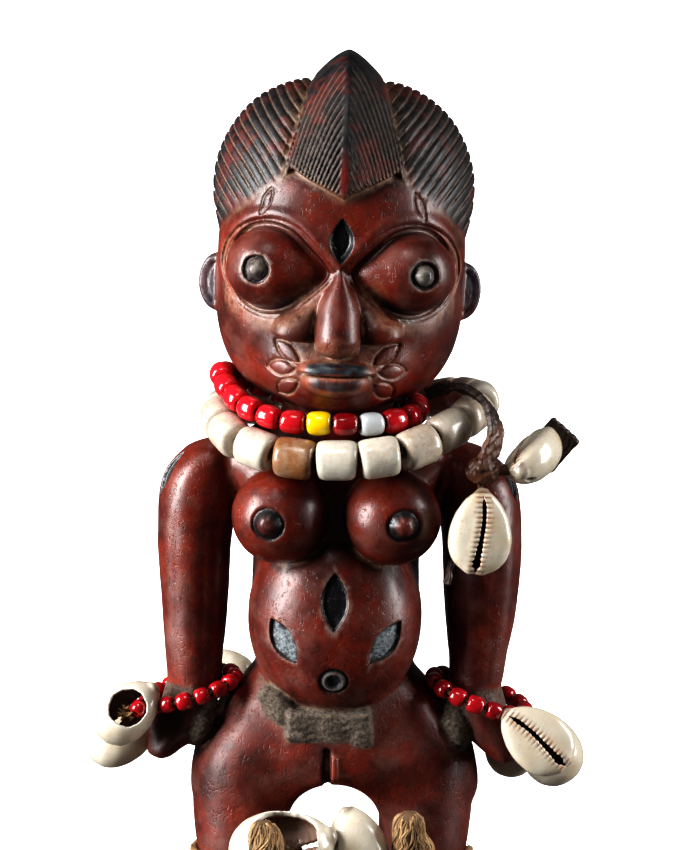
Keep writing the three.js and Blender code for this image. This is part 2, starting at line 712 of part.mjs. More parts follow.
const LOOK = {
  wood: { color: 0x6a2416, roughness: 0.4 },
  cream: { color: 0xd8cfbc, roughness: 0.35 },
  red: { color: 0xb01620, roughness: 0.2 },
  yellow: { color: 0xe0b808, roughness: 0.25 },
  milky: { color: 0xd4dade, roughness: 0.2 },
  leather: { color: 0x2c1a12, roughness: 0.7 },
  shell: { color: 0xd9ccb0, roughness: 0.3 },
  fibre: { color: 0x9a7650, roughness: 0.9 },
};

add('figure', figure(), LOOK.wood);

add('white_bead_necklace', beadString(WHITE_LOOP, WHITE_COUNT, WHITE_BEAD, 6), LOOK.cream);

add('red_bead_necklace', beadString(RED_LOOP, RED_COUNT, RED_BEAD, 5, [YELLOW_AT, MILKY_AT]), LOOK.red);
add('yellow_bead', boredBead(RED_BEAD, spotOn(RED_LOOP, YELLOW_AT / RED_COUNT)), LOOK.yellow);
add('milky_bead', boredBead(RED_BEAD, spotOn(RED_LOOP, MILKY_AT / RED_COUNT)), LOOK.milky);

add('leather_thong', leatherThong(), LOOK.leather);
add('leather_toggle', leatherToggle(), LOOK.leather);
for (const [name, shell] of Object.entries(NECK_SHELLS)) {
  add(name, cowrieShape(shell), LOOK.shell);
}

for (const side of ['right', 'left']) {
  add(`${side}_wristlet`, wristlet(side), LOOK.red);
  WRIST_SHELLS[side].forEach((shell, i) => {
    add(`${side}_wrist_cowrie_${i + 1}`, cowrieShape(shell), LOOK.shell);
  });
  add(`${side}_leg_cord`, legCord(side === 'right' ? -1 : 1), LOOK.fibre);
}
for (const [name, shell] of Object.entries(LEG_SHELLS)) {
  add(name, cowrieShape(shell), LOOK.shell);
}
for (const [name, knot] of Object.entries(LEG_KNOTS)) {
  add(name, limb(knot, { cols: 8, rows: 4 }), LOOK.fibre);
}

export default group;
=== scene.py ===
import math
from concurrent.futures import ThreadPoolExecutor

import bpy
import numpy as np
from mathutils import Matrix, Vector


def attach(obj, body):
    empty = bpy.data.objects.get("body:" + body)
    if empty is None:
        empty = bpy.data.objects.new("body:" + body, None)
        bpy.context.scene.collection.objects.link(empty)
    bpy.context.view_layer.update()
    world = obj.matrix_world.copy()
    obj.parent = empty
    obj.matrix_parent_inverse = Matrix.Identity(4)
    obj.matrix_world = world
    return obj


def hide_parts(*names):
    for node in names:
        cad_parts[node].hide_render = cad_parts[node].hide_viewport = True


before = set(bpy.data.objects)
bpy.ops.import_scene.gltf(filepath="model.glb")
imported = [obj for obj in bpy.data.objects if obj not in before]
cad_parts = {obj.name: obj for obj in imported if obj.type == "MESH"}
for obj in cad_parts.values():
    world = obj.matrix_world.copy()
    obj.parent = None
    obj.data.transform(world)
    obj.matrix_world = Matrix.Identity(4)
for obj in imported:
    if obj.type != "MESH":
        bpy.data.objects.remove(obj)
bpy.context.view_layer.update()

MM = 0.001
SIDES = (-1, 1)  # The figure's right, which is the picture's left, then its left

# Camera at the photograph's angle, in millimetres
PHOTO = (698, 850)
FOCAL_PX = 3035
TARGET = Vector((3.1, 0, 171))
DISTANCE = 850
ELEVATION = math.radians(9)
ROLL = math.radians(0.9)


def add_camera():
    back = Vector((0, -math.cos(ELEVATION), math.sin(ELEVATION)))
    flat_right = Vector((1, 0, 0))
    flat_up = back.cross(flat_right)
    right = math.cos(ROLL) * flat_right + math.sin(ROLL) * flat_up
    up = -math.sin(ROLL) * flat_right + math.cos(ROLL) * flat_up
    data = bpy.data.cameras.new("camera")
    data.sensor_width = 36
    data.lens = FOCAL_PX * data.sensor_width / max(PHOTO)
    data.clip_start = 0.01
    data.clip_end = 50
    camera = bpy.data.objects.new("camera", data)
    place = Matrix((right, up, back)).transposed().to_4x4()
    place.translation = (TARGET + DISTANCE * back) * MM
    camera.matrix_world = place
    bpy.context.scene.collection.objects.link(camera)
    bpy.context.scene.camera = camera


# Distance fields, in millimetres, negative inside
def smin(a, b, k):
    h = np.clip(0.5 + 0.5 * (b - a) / k, 0, 1)
    return b + (a - b) * h - k * h * (1 - h)


def smax(a, b, k):
    return -smin(-a, -b, k)


def smooth(x):
    t = np.clip(x, 0, 1)
    return t * t * (3 - 2 * t)


def bump(x, width):
    return np.exp(-((x / width) ** 2))


def turned(x=0, y=0, z=0):
    """Rotation in degrees about Z, then Y, then X, as a matrix whose columns are the turned axes."""
    rx, ry, rz = (math.radians(v) for v in (x, y, z))
    mx = np.array([[1, 0, 0], [0, math.cos(rx), -math.sin(rx)], [0, math.sin(rx), math.cos(rx)]])
    my = np.array([[math.cos(ry), 0, math.sin(ry)], [0, 1, 0], [-math.sin(ry), 0, math.cos(ry)]])
    mz = np.array([[math.cos(rz), -math.sin(rz), 0], [math.sin(rz), math.cos(rz), 0], [0, 0, 1]])
    return mx @ my @ mz


def ellipsoid(P, centre, radii, axes=None):
    q = P - np.array(centre)
    if axes is not None:
        q = q @ axes
    r = np.array(radii)
    k0 = np.linalg.norm(q / r, axis=1)
    k1 = np.linalg.norm(q / (r * r), axis=1)
    return k0 * (k0 - 1) / np.maximum(k1, 1e-4)


def boxy(P, centre, radii, round_by, axes=None):
    q = P - np.array(centre)
    if axes is not None:
        q = q @ axes
    q = np.abs(q) - (np.array(radii) - round_by)
    outside = np.linalg.norm(np.maximum(q, 0), axis=1)
    return outside + np.minimum(q.max(axis=1), 0) - round_by


def scaled(reach, size):
    """Distance to where size is 1, along the ray that reach measures."""
    return reach - reach / np.maximum(size, 1e-3)


def spline(stations, samples=48):
    """Catmull-Rom through the stations, as a table sorted upwards."""
    s = np.array(stations, float)
    s = np.vstack([2 * s[0] - s[1], s, 2 * s[-1] - s[-2]])
    t = np.linspace(0, 1, samples, endpoint=False)[:, None]
    rows = []
    for a, b, c, d in zip(s, s[1:], s[2:], s[3:]):
        bend = 2 * b + (c - a) * t + (2 * a - 5 * b + 4 * c - d) * t**2
        rows.append(0.5 * (bend + (3 * b - a - 3 * c + d) * t**3))
    rows = np.vstack(rows + [s[-2][None]])
    return rows[np.argsort(rows[:, 2])]


def column(P, table, power=2.0, cap=2.0):
    """An upright limb of stations (x, y, z, half width, half depth)."""
    z = P[:, 2]
    cx, cy, hw, hd = (np.interp(z, table[:, 2], table[:, i]) for i in (0, 1, 3, 4))
    dx, dy = P[:, 0] - cx, P[:, 1] - cy
    rho = (np.abs(dx / hw) ** power + np.abs(dy / hd) ** power) ** (1 / power)
    ends = np.maximum(z - table[-1, 2], table[0, 2] - z)
    return smax(scaled(np.hypot(dx, dy), rho), ends, cap)


def wobble(P, scale, seed):
    """Smooth noise of about -1 to 1, from a few seeded waves."""
    rng = np.random.default_rng(seed)
    total = np.zeros(len(P))
    for _ in range(6):
        way = rng.normal(size=3)
        way /= np.linalg.norm(way)
        total += np.sin(P @ way * (2 * math.pi / (scale * rng.uniform(0.7, 1.5))) + rng.uniform(0, 6.28))
    return total / 3


# Head, in its own upright frame
HEAD_TIP = {"angle": math.radians(1.5), "z": 180.0, "x": -0.8}
EYE = {"x": 19.2, "y": -22.5, "z": 216.9, "radii": (11.9, 10.8, 11.0), "turn": 18}
LOBE = {
    "at": (8.0, 4.0, 237.0), "radii": (28.4, 27.0, 30.4),
    "comb_at": 15.8, "comb_x": 0.3275, "comb_z": 0.2402,
}
CREST = {"half": 16.4, "front": 30.0, "z": 237.0, "rise": 38.5, "drop": 0.285, "power": 1.455}
HAIRLINE = ((0, 237.0), (30, 244.0), (82, 223.0), (100, 214.0), (125, 204.0), (180, 199.0))


def to_head(P):
    x = P[:, 0] - HEAD_TIP["x"]
    z = P[:, 2] - HEAD_TIP["z"]
    c, s = math.cos(HEAD_TIP["angle"]), math.sin(HEAD_TIP["angle"])
    return np.column_stack([x * c - z * s, P[:, 1], x * s + z * c + HEAD_TIP["z"]])


def teardrop(x, z, centre, r, corner, tip_r):
    """Flat distance to a circle drawn out to a corner, seen from the front."""
    a, b = np.array(centre), np.array(corner)
    way = b - a
    length = np.linalg.norm(way)
    way = way / length
    p = np.column_stack([x, z]) - a
    along = p @ way
    off = np.abs(p @ np.array([-way[1], way[0]]))
    sine = (r - tip_r) / length
    cosine = math.sqrt(1 - sine * sine)
    k = -sine * off + cosine * along
    near = np.hypot(off, along) - r
    far = np.hypot(off, along - length) - tip_r
    between = off * cosine + along * sine - r
    return np.where(k < 0, near, np.where(k > cosine * length, far, between))


def skull(P):
    q = P - np.array([0, 0, 213.0])
    rz = np.where(q[:, 2] < 0, 36.0, 42.0)
    u = np.hypot(q[:, 0] / 34.4, q[:, 1] / 31)
    size = (u**2.8 + np.abs(q[:, 2] / rz) ** 2.8) ** (1 / 2.8)
    return scaled(np.linalg.norm(q, axis=1), size)


def leaf(P, at, axes, length, width):
    """A pointed leaf in the plane of the first two axes: distance to its edge, and how far off the plane."""
    q = (P - np.array(at)) @ axes
    a = q[:, 0] / (length / 2)
    edge = (np.abs(q[:, 1]) - (1 - a * a) * width / 2) / np.sqrt(1 + (a * width / length * 2) ** 2)
    edge = np.maximum(edge, np.abs(q[:, 0]) - length / 2)
    return edge, np.abs(q[:, 2])


def front_axes(slant, yaw, pitch=0):
    """Axes of a mark on the front: along, across and outwards. Slant is turned in the plane, yaw about Z."""
    s, y, p = (math.radians(v) for v in (slant, yaw, pitch))
    out = np.array([math.sin(y) * math.cos(p), -math.cos(y) * math.cos(p), math.sin(p)])
    right = np.array([math.cos(y), math.sin(y), 0.0])
    up = np.cross(right, -out)
    up = up / np.linalg.norm(up)
    if up[2] < 0:
        up = -up
    along = math.cos(s) * right + math.sin(s) * up
    across = -math.sin(s) * right + math.cos(s) * up
    return np.column_stack([along, across, out])


# Cut marks, each with its place, axes, length and width, in the head's frame or the body's
SCARS = ((13.2, -27.6, 195.0, 35), (15.1, -26.6, 190.4, 0), (13.6, -26.4, 185.0, -26))
SCAR_SIZE = (9.8, 4.2)
TEMPLE_CUTS = {
    side: ((side * 21.6, -23.4, 234.8), front_axes(90 + side * 13, side * 40), 7.4, 2.9)
    for side in SIDES
}
FOREHEAD_LENS = ((0.1, -30, 225.4), front_axes(90, 0), 12.4, 6.4)
SHOULDER_LENSES = {
    side: ((side * 48.2, -3.0, 157.0), front_axes(84, side * 74), 13.0, 6.0)
    for side in SIDES
}
BELLY_LENSES = (
    ((0.0, -27.0, 125.6), front_axes(90, 0), 16.0, 7.4),
    ((-14.4, -22.6, 113.9), front_axes(-57, -32), 14.4, 7.6),
    ((14.4, -22.6, 113.9), front_axes(50, 32), 14.8, 7.4),
)
NAVEL = ((0, -22.8, 103.6), front_axes(0, 0, -35))


def eye(P, side):
    dome = ellipsoid(P, (side * EYE["x"], EYE["y"], EYE["z"]), EYE["radii"], turned(z=side * EYE["turn"]))
    corner = ellipsoid(P, (side * 9.4, -25.6, 216.4), (6.0, 4.4, 4.2), turned(z=side * 12, y=side * -3))
    return smin(dome, corner, 5.0)


def pupil_frame(side):
    """The middle of a pupil, on the eye's dome, and its axes."""
    yaw = side * 20
    out = np.array([math.sin(math.radians(yaw)), -math.cos(math.radians(yaw)), 0.03])
    at = np.array([side * EYE["x"], EYE["y"], EYE["z"]]) + out * (EYE["radii"][1] - 0.1)
    return at, front_axes(0, yaw)


def round_mark(P, at, axes):
    """Radius, height and angle about a mark's outward axis."""
    q = (P - np.array(at)) @ axes
    return np.hypot(q[:, 0], q[:, 1]), q[:, 2], np.arctan2(q[:, 1], q[:, 0])


def face(P):
    d = skull(P)
    x, z = P[:, 0], P[:, 2]
    ax = np.abs(x)
    front = smooth((-P[:, 1] - 2) / 8)
    d = smin(d, ellipsoid(P, (0, -17.5, 190.5), (19.5, 14.5, 12.5)), 5.0)
    d = smin(d, ellipsoid(P, (0, -20.5, 183.5), (12.0, 8.0, 6.0)), 3.0)
    # brow, with the eye hollow sunk below it and its cut outline
    outer = teardrop(ax, z, (19.0, 217.0), 13.2, (0.4, 216.6), 0.3)
    d = d + front * (1.15 * smooth(-outer / 2.4) + 0.5 * bump(outer, 0.4))
    d = d - front * 0.7 * bump(outer - 1.8, 1.5) * smooth((z - 212) / 6)
    for side in SIDES:
        e = eye(P, side)
        d = d + 0.8 * bump(e - 0.9, 0.8)
        d = smin(d, e, 0.5)
    # nose: ridge, wings with a straight lower edge, and the creases along the ridge
    ridge = column(P, NOSE_TABLE, power=1.8, cap=1.5)
    d = smin(d, ridge, 1.0)
    for side in SIDES:
        wing = ellipsoid(P, (side * 10.9, -27.0, 200.9), (7.2, 7.4, 5.4), turned(z=side * 14, y=side * 12))
        top_in = ellipsoid(P, (side * 8.0, -26.8, 204.8), (4.2, 4.4, 3.8), turned(y=side * 30))
        wing = smin(wing, top_in, 2.0)
        wing = smax(wing, 198.0 - z + 0.02 * (ax - 8) ** 2, 0.8)
        d = smin(d, wing, 0.5)
    d = smin(d + 0.5 * bump(ridge - 0.5, 0.6) * smooth((207 - z) / 4) * smooth((z - 198) / 2), ridge, 0.3)
    # lips: two boats with a cut between them
    upper = smax(ellipsoid(P, (0, -28.8, 190.2), (11.0, 7.0, 4.2)), 189.7 - z + 0.03 * ax, 0.5)
    lower = smax(ellipsoid(P, (0, -28.6, 187.8), (9.6, 7.2, 5.0)), z - 189.0 - 0.03 * ax, 0.5)
    d = smin(d, smin(upper, lower, 0.2), 0.7)
    # ears
    for side in SIDES:
        ear = ellipsoid(P, (side * 34.0, 2.0, 209.8), (5.4, 4.2, 8.1), turned(z=side * -14, y=side * 4))
        ear = smax(ear, -(P[:, 1] + 0.4 - 0.3 * (P[:, 0] * side - 34)), 0.7)
        rim = ellipsoid(P, (side * 33.6, 2.0, 209.8), (3.6, 6.0, 6.1))
        ear = ear + 0.5 * bump(rim, 0.4) * smooth(-(P[:, 1] - 2) / 3)
        d = smin(d, ear, 1.0)
    return d


def face_marks(P, d):
    """The face's distance with its pupils, scars and temple and forehead cuts."""
    for side in SIDES:
        r, h, angle = round_mark(P, *pupil_frame(side))
        near = (np.abs(h) < 5) & (r < 8)
        r = r + 0.06 * np.sin(angle * 5 + side) + 0.04 * np.sin(angle * 9 + 2)
        pit = 1.0 * smooth((4.1 - r) / 0.7) - 1.75 * smooth((3.3 - r) / 2.4)
        d = d + np.where(near, pit, 0)
        for x, y, z, slant in SCARS:
            axes = front_axes(slant if side > 0 else 180 - slant, side * 30)
            edge, off = leaf(P, (side * x, y, z), axes, *SCAR_SIZE)
            mark = 0.62 * bump(edge, 0.34) - 0.15 * smooth(-edge / 1.2)
            d = d + np.where(off < 6, mark, 0)
        edge, off = leaf(P, *TEMPLE_CUTS[side])
        d = d + np.where(off < 6, 0.5 * bump(edge, 0.3) + 0.15 * smooth(-edge / 0.8), 0)
    edge, off = leaf(P, *FOREHEAD_LENS)
    return d + np.where(off < 7, 1.5 * smooth((0.2 - edge) / 1.3) + 0.3 * bump(edge + 1.5, 0.25), 0)


def hairline_height(P):
    angle = np.degrees(np.arctan2(np.abs(P[:, 0]), -P[:, 1]))
    return np.interp(angle, *zip(*HAIRLINE))


def lobe(P, side):
    """A side lobe of the hair, slightly pinched where the two meet."""
    x, y, z = LOBE["at"]
    offset = P - np.array([side * x, y, z])
    q = offset / np.array(LOBE["radii"])
    q[:, 1] *= 1 + 0.10 * bump(P[:, 0], 6.0)
    return scaled(np.linalg.norm(offset, axis=1), np.linalg.norm(q, axis=1))


def lobe_furrow(P, side):
    """Counts across the combed furrows of a side lobe, whole in each furrow."""
    inwards = LOBE["comb_at"] - side * P[:, 0]
    up = P[:, 2] - LOBE["at"][2]
    return LOBE["comb_x"] * inwards + LOBE["comb_z"] * up + 0.10 * wobble(P, 22, 5 + side)


def crest_height(P):
    """Height over the crest's middle, straightened from its sideways slope."""
    return P[:, 2] + CREST["drop"] * np.abs(P[:, 0]) ** CREST["power"] - CREST["z"]


def crest(P):
    ax = np.abs(P[:, 0])
    size = np.hypot(P[:, 1] / CREST["front"], crest_height(P) / CREST["rise"])
    tilt = CREST["drop"] * CREST["power"] * np.maximum(ax, 0.3) ** (CREST["power"] - 1)
    body = scaled(size * 33, size) / np.sqrt(1 + tilt**2) * 1.05
    return smax(body, ax - CREST["half"], 2.0)


def crest_furrow(P):
    """Counts across the combed furrows of the crest, whole in each, and how strong they are."""
    down = 34 * np.arctan2(np.abs(P[:, 1]), crest_height(P))
    ax = np.abs(P[:, 0])
    swept = ax * (0.68 + 0.32 * ax / CREST["half"])
    u = down / 3.1 - swept * (0.30 + 0.0075 * down) + 0.05 * wobble(P, 18, 3)
    fade = smooth((down - 9 - 0.3 * ax) / 5) * smooth((ax - 0.7) / 0.6)
    return u, fade


def between(u):
    """0 in a furrow, 1 half way between two."""
    return 2 * np.abs(u - np.round(u))


def hair(P):
    """The hair's distance, and where its combed furrows run."""
    cut = (hairline_height(P) - P[:, 2]) * 0.93
    counts = [lobe_furrow(P, side) for side in SIDES]
    lobes = []
    for side, u in zip(SIDES, counts):
        furrow = 0.55 * (1 - smooth(between(u) / 0.42)) + 0.14 * (1 - between(u)) ** 2
        lobes.append(lobe(P, side) + furrow)
    both = np.minimum(*lobes)
    u, fade = crest_furrow(P)
    top = crest(P) + fade * 0.42 * (1 - smooth(between(u) / 0.75))
    seam = np.abs(top - both)
    hair_d = np.minimum(top, both) + 0.7 * bump(seam, 0.9) * smooth((-cut - 1) / 4)
    on_crest = top < both
    count = np.where(on_crest, u, np.where(lobes[0] < lobes[1], counts[0], counts[1]))
    combed = np.where(on_crest, fade, 1.0) * smooth((seam - 0.5) / 1.0)
    return smax(hair_d, cut, 0.9), on_crest, count, combed, seam


NOSE_TABLE = spline([
    (0, -26.8, 220, 1.0, 2.2), (0, -29.0, 216.4, 1.6, 3.0), (0, -30.8, 209, 5.0, 4.9),
    (0, -32.2, 203, 6.1, 6.2), (0, -32.8, 199, 6.2, 6.4), (0, -31.8, 196, 5.2, 5.6),
    (0, -30.5, 194.2, 3.0, 4.0),
])


def head(P):
    q = to_head(P)
    d = face_marks(q, face(q))
    return smin(d, hair(q)[0], 1.5)


# Body
def mirrored(stations):
    return {side: spline([(side * x, y, z, w, dp) for x, y, z, w, dp in stations]) for side in SIDES}


LEG = mirrored([
    (20, 2, 92, 8, 10), (23, 2, 80, 15, 16.5), (25.4, 0, 64, 14.4, 15.5), (24.6, -3, 46, 12.8, 13.5),
    (21.5, 1, 32, 11, 12), (20, 1, 20, 9, 10), (20, 1, 9, 9, 10),
])
PELVIS = spline([
    (0, 3, 106, 19, 15), (0, 3, 99, 25.5, 18), (0.4, 3, 88, 34.8, 20), (1, 3, 76, 38.6, 21),
    (1, 2, 66, 39.1, 16), (0.6, 1, 60, 32, 12),
])
CHEST = spline([
    (0, 2, 176, 13, 12), (0, 2, 170, 24, 15), (0, 1, 163, 34, 17.5), (0, 0, 150, 28, 19.5),
    (0, 1, 138, 23.8, 18.6), (0, 1, 120, 23.5, 18), (0, 2, 100, 22, 17),
])
HAND = mirrored([
    (39.3, -2.5, 100, 7.2, 7.4), (40.9, -3.5, 92, 8, 7.2), (44.5, -5, 84, 7, 6), (47.9, -6, 78.5, 4.6, 4.6),
    (48.5, -6, 76, 2.6, 3),
])


def arm_table(side, fuller):
    """Stations of an arm. The left one is fuller towards its outside."""
    stations = (
        (33.5, 2, 166.5, 3.5, 6), (35.4, 1.5, 163.4, 7.8, 10), (38 + 1.5 * fuller, 1, 155, 11.2, 12),
        (39.8 + 1.5 * fuller, 0, 139, 10.5 + fuller, 10.8),
        (39.7 + 1.6 * fuller, -1, 120, 9.4 + fuller, 9.4), (39.7 + fuller, -2, 106, 8.3, 8.4),
        (39.5 + 0.5 * fuller, -2.5, 97, 7.5, 7.7),
    )
    return spline([(side * x, *rest) for x, *rest in stations])


ARM = {-1: arm_table(-1, 0.0), 1: arm_table(1, 0.8)}
ARCH = {"x": 0.6, "z": 58.8, "r": 12.7}
BREAST = {"x": 15.4, "y": -19.0, "z": 148.6, "r": 13.4, "yaw": 14}
CRUST_AT = (-1.3, -15.6, 88.9)


def arm(P, side):
    d = column(P, ARM[side], cap=3.0)
    cx = np.interp(P[:, 2], ARM[side][:, 2], ARM[side][:, 0])
    phi = np.arctan2(P[:, 1], P[:, 0] - cx)
    return d + 0.28 * (1 - np.abs(np.cos(4 * phi + 0.4))) * smooth((150 - P[:, 2]) / 12)


def hand(P, side):
    d = column(P, HAND[side], power=1.55, cap=2.0)
    if side < 0:
        d = smin(d, ellipsoid(P, (-44.0, -4.5, 84.6), (8.0, 4.6, 4.8)), 2.5)
    return d


def trunk(P):
    d = column(P, PELVIS, cap=3.0)
    for side in SIDES:
        d = smin(d, column(P, LEG[side], cap=2.0), 5.0)
        d = smin(d, ellipsoid(P, (side * 16, 13, 80), (17, 14, 17)), 3.0)
    above = P[:, 2] - ARCH["z"]
    arch = np.hypot(P[:, 0] - ARCH["x"], above / np.where(above > 0, 0.95, 3)) - ARCH["r"]
    d = smax(d, -arch, 3.0)
    d = smin(d, column(P, CHEST, cap=3.0), 2.0)
    d = smin(d, column(P, NECK, cap=1.0), 4.0)
    return d


NECK = spline([(0, 1, 188, 15, 15), (0, 1, 180, 15, 15), (0, 1, 172, 15.2, 15), (0, 1, 165, 15.5, 15)])


def breast_frame(side):
    yaw = side * BREAST["yaw"]
    out = np.array([math.sin(math.radians(yaw)), -math.cos(math.radians(yaw)), -0.02])
    at = np.array([side * BREAST["x"], BREAST["y"], BREAST["z"]]) + out * (BREAST["r"] - 0.2)
    return at, front_axes(0, yaw)


def cut_marks(P, d):
    """The body's distance with nipples, lens-shaped cuts, navel and slit."""
    for side in SIDES:
        r, h, _ = round_mark(P, *breast_frame(side))
        nipple = 0.65 * bump(r - 4.2, 0.55) - 1.7 * smooth((3.9 - r) / 3.0)
        d = d + np.where((np.abs(h) < 6) & (r < 7), nipple, 0)
        edge, off = leaf(P, *SHOULDER_LENSES[side])
        d = d + np.where(off < 6, 1.3 * smooth((0.1 - edge) / 0.9), 0)
    for lens in BELLY_LENSES:
        edge, off = leaf(P, *lens)
        d = d + np.where(off < 6, 1.05 * smooth((0.1 - edge) / 0.6), 0)
    r, h, _ = round_mark(P, *NAVEL)
    ring = 0.6 * smooth((4.4 - r) / 0.5) - 0.65 * bump(r - 2.7, 0.6) + 0.4 * smooth((2.0 - r) / 0.5)
    d = d + np.where(np.abs(h) < 6, ring, 0)
    slit = np.hypot(P[:, 0] + 1.6, np.maximum(np.abs(P[:, 2] - 76.5) - 4.6, 0))
    slit = np.where(P[:, 1] > 0, slit + 20, slit)
    return d + 2.4 * bump(slit, 0.9) * smooth((-P[:, 1] - 11) / 3)


def body(P):
    d = smin(trunk(P), ellipsoid(P, (0, -6, 117.8), (24.4, 21, 29.2)), 1.2)
    centre = np.array([BREAST["x"], BREAST["y"], BREAST["z"]])
    for side in SIDES:
        d = smin(d, ellipsoid(P, centre * np.array([side, 1, 1]), (BREAST["r"],) * 3), 0.9)
        d = smin(d, arm(P, side), 3.0)
        d = smin(d, hand(P, side), 1.2)
    tab = boxy(P, (0.6, -17.4, 76.6), (0.9, 1.6, 3.4), 0.7)
    return smin(cut_marks(P, d), tab, 0.5)


def crust_field(P):
    """Caked earth: a patch under the belly and lumps between the hands and the hips."""
    grain = 0.32 * wobble(P, 6.5, 20) + 0.12 * wobble(P, 2.6, 21) + 0.06 * wobble(P, 1.3, 22)
    slab = boxy(P, CRUST_AT, (11.6, 3.0, 4.3), 1.2, turned(x=12))
    corner = boxy(P, (8.2, -15.4, 85.6), (2.6, 3.0, 2.4), 1.4, turned(x=12))
    left_end = ellipsoid(P, (-14.5, -13.3, 92.8), (8.0, 4.0, 4.2), turned(y=42))
    slab = smin(slab, smin(corner, left_end, 1.5), 1.2)
    left = ellipsoid(P, (-37.2, -5.0, 86.4), (3.6, 6.0, 7.2), turned(y=24))
    right = ellipsoid(P, (34.6, -5.0, 86.4), (4.2, 6.0, 7.6), turned(y=-8))
    return np.minimum(slab, np.minimum(left, right)) + grain


def stand(P):
    rim = scaled(np.hypot(P[:, 0], P[:, 1]), np.hypot(P[:, 0] / 36, P[:, 1] / 33))
    rim = rim + 0.3 * (1 + wobble(P * np.array([1, 1, 0.25]), 9, 31))
    d = smax(rim, P[:, 2] - 12 + 0.15 * wobble(P, 11, 33), 1.6)
    d = smax(d, -P[:, 2], 0.3)
    for s in SIDES:
        foot = ellipsoid(P, (s * 20, -6, 12), (9.5, 20, 12))
        for x in (-4.6, -1.4, 1.6, 4.4):
            toe = np.abs(P[:, 0] - s * 20 - x)
            foot = foot + 1.2 * bump(toe, 0.6) * smooth((-P[:, 1] - 15) / 3)
        d = smin(d, foot, 0.7)
    return d


def figure_field(P):
    """The whole carving. A part is worked out only at heights that it or its blend reaches."""
    low, high = P[:, 2].min(), P[:, 2].max()
    d = np.full(len(P), 40.0)
    if high > 174:
        d = smin(d, head(P), 1.0)
    if low < 192:
        d = smin(d, body(P), 2.0)
        d = smin(d, crust_field(P), 1.1)
    if low < 34:
        d = smin(d, stand(P), 1.2)
    return np.maximum(d + 0.07 * wobble(P, 15, 8) + 0.03 * wobble(P, 5, 9), -P[:, 2])


# Meshes from distance fields
WORKERS = 4


def in_batches(field, P, size=24000):
    """The field at many points, a batch at a time on several threads."""
    parts = [P[i : i + size] for i in range(0, len(P), size)]
    with ThreadPoolExecutor(WORKERS) as pool:
        return np.concatenate(list(pool.map(field, parts)))


def sample(field, low, high, step):
    """The field on a grid, worked out in full only near its surface."""
    low = np.array(low, float)
    coarse = 16
    count = np.ceil((np.array(high) - low) / (step * coarse)).astype(int)
    values = np.full(count * coarse, 9.0, np.float32)
    corner = np.stack(np.meshgrid(*[np.arange(n) for n in count], indexing="ij"), -1).reshape(-1, 3) * coarse
    for size, finer in ((16, 4), (4, 1)):
        middle = low + (corner + (size - 1) / 2) * step
        d = in_batches(field, middle)
        near = np.abs(d) < 0.87 * size * step * 1.2 + 0.7
        for c in corner[(d < 0) & ~near]:
            values[c[0] : c[0] + size, c[1] : c[1] + size, c[2] : c[2] + size] = -9.0
        n = size // finer
        inner = np.stack(np.meshgrid(*[np.arange(n)] * 3, indexing="ij"), -1).reshape(-1, 3) * finer
        kept = corner[near]
        kept = kept[np.lexsort((kept[:, 0], kept[:, 1], kept[:, 2]))]
        corner = (kept[:, None, :] + inner[None]).reshape(-1, 3)
    d = in_batches(field, low + corner * step)
    values[corner[:, 0], corner[:, 1], corner[:, 2]] = d
    return values


def surface_net(values, low, step):
    """Points and outward quads where the sampled field changes sign."""
    inside = values < 0
    points, quads = [], []
    shape = np.array(values.shape)
    weight = np.array([shape[1] * shape[2], shape[2], 1])
    for axis in range(3):
        lower = [slice(None)] * 3
        upper = [slice(None)] * 3
        lower[axis], upper[axis] = slice(0, -1), slice(1, None)
        at = np.stack(np.nonzero(inside[tuple(lower)] != inside[tuple(upper)]), -1)
        step_on = np.eye(3, dtype=int)
        v0 = values[tuple(at.T)].astype(float)
        v1 = values[tuple((at + step_on[axis]).T)].astype(float)
        crossing = at + step_on[axis] * (v0 / (v0 - v1))[:, None]
        b, c = step_on[(axis + 1) % 3], step_on[(axis + 2) % 3]
        ids = np.stack([(at - off) @ weight for off in (0 * b, b, b + c, c)], 1)
        ids = np.where((v0 < 0)[:, None], ids, ids[:, ::-1])
        quads.append(ids)
        points.append(np.repeat(crossing, 4, axis=0))
    quads = np.concatenate(quads)
    points = np.concatenate(points)
    _, index = np.unique(quads.ravel(), return_inverse=True)
    total = np.bincount(index)
    middle = np.stack([np.bincount(index, points[:, i]) / total for i in range(3)], 1)
    return np.array(low) + middle * step, index.reshape(-1, 4)


TETRA = np.array([[1, 1, 1], [1, -1, -1], [-1, 1, -1], [-1, -1, 1]], float)


def gradient(field, P, h=0.12):
    total = np.zeros_like(P)
    for way in TETRA:
        total += way * in_batches(field, P + way * h)[:, None]
    return total / (4 * h)


def onto_surface(field, P, limit):
    g = gradient(field, P)
    slope = np.maximum((g * g).sum(1), 0.2)
    move = np.clip(in_batches(field, P) / slope, -limit, limit)
    return P - g * move[:, None]


def mesh_object(name, P, quads, triangles=()):
    """An object in metres from points in millimetres."""
    quads = np.asarray(quads, np.int32).reshape(-1, 4)
    triangles = np.asarray(triangles, np.int32).reshape(-1, 3)
    loops = np.concatenate([quads.ravel(), triangles.ravel()])
    starts = np.concatenate([np.arange(len(quads)) * 4, quads.size + np.arange(len(triangles)) * 3])
    mesh = bpy.data.meshes.new(name)
    mesh.vertices.add(len(P))
    mesh.vertices.foreach_set("co", (np.asarray(P) * MM).astype(np.float32).ravel())
    mesh.loops.add(len(loops))
    mesh.loops.foreach_set("vertex_index", loops)
    mesh.polygons.add(len(starts))
    mesh.polygons.foreach_set("loop_start", starts.astype(np.int32))
    mesh.update(calc_edges=True)
    obj = bpy.data.objects.new(name, mesh)
    bpy.context.scene.collection.objects.link(obj)
    return obj


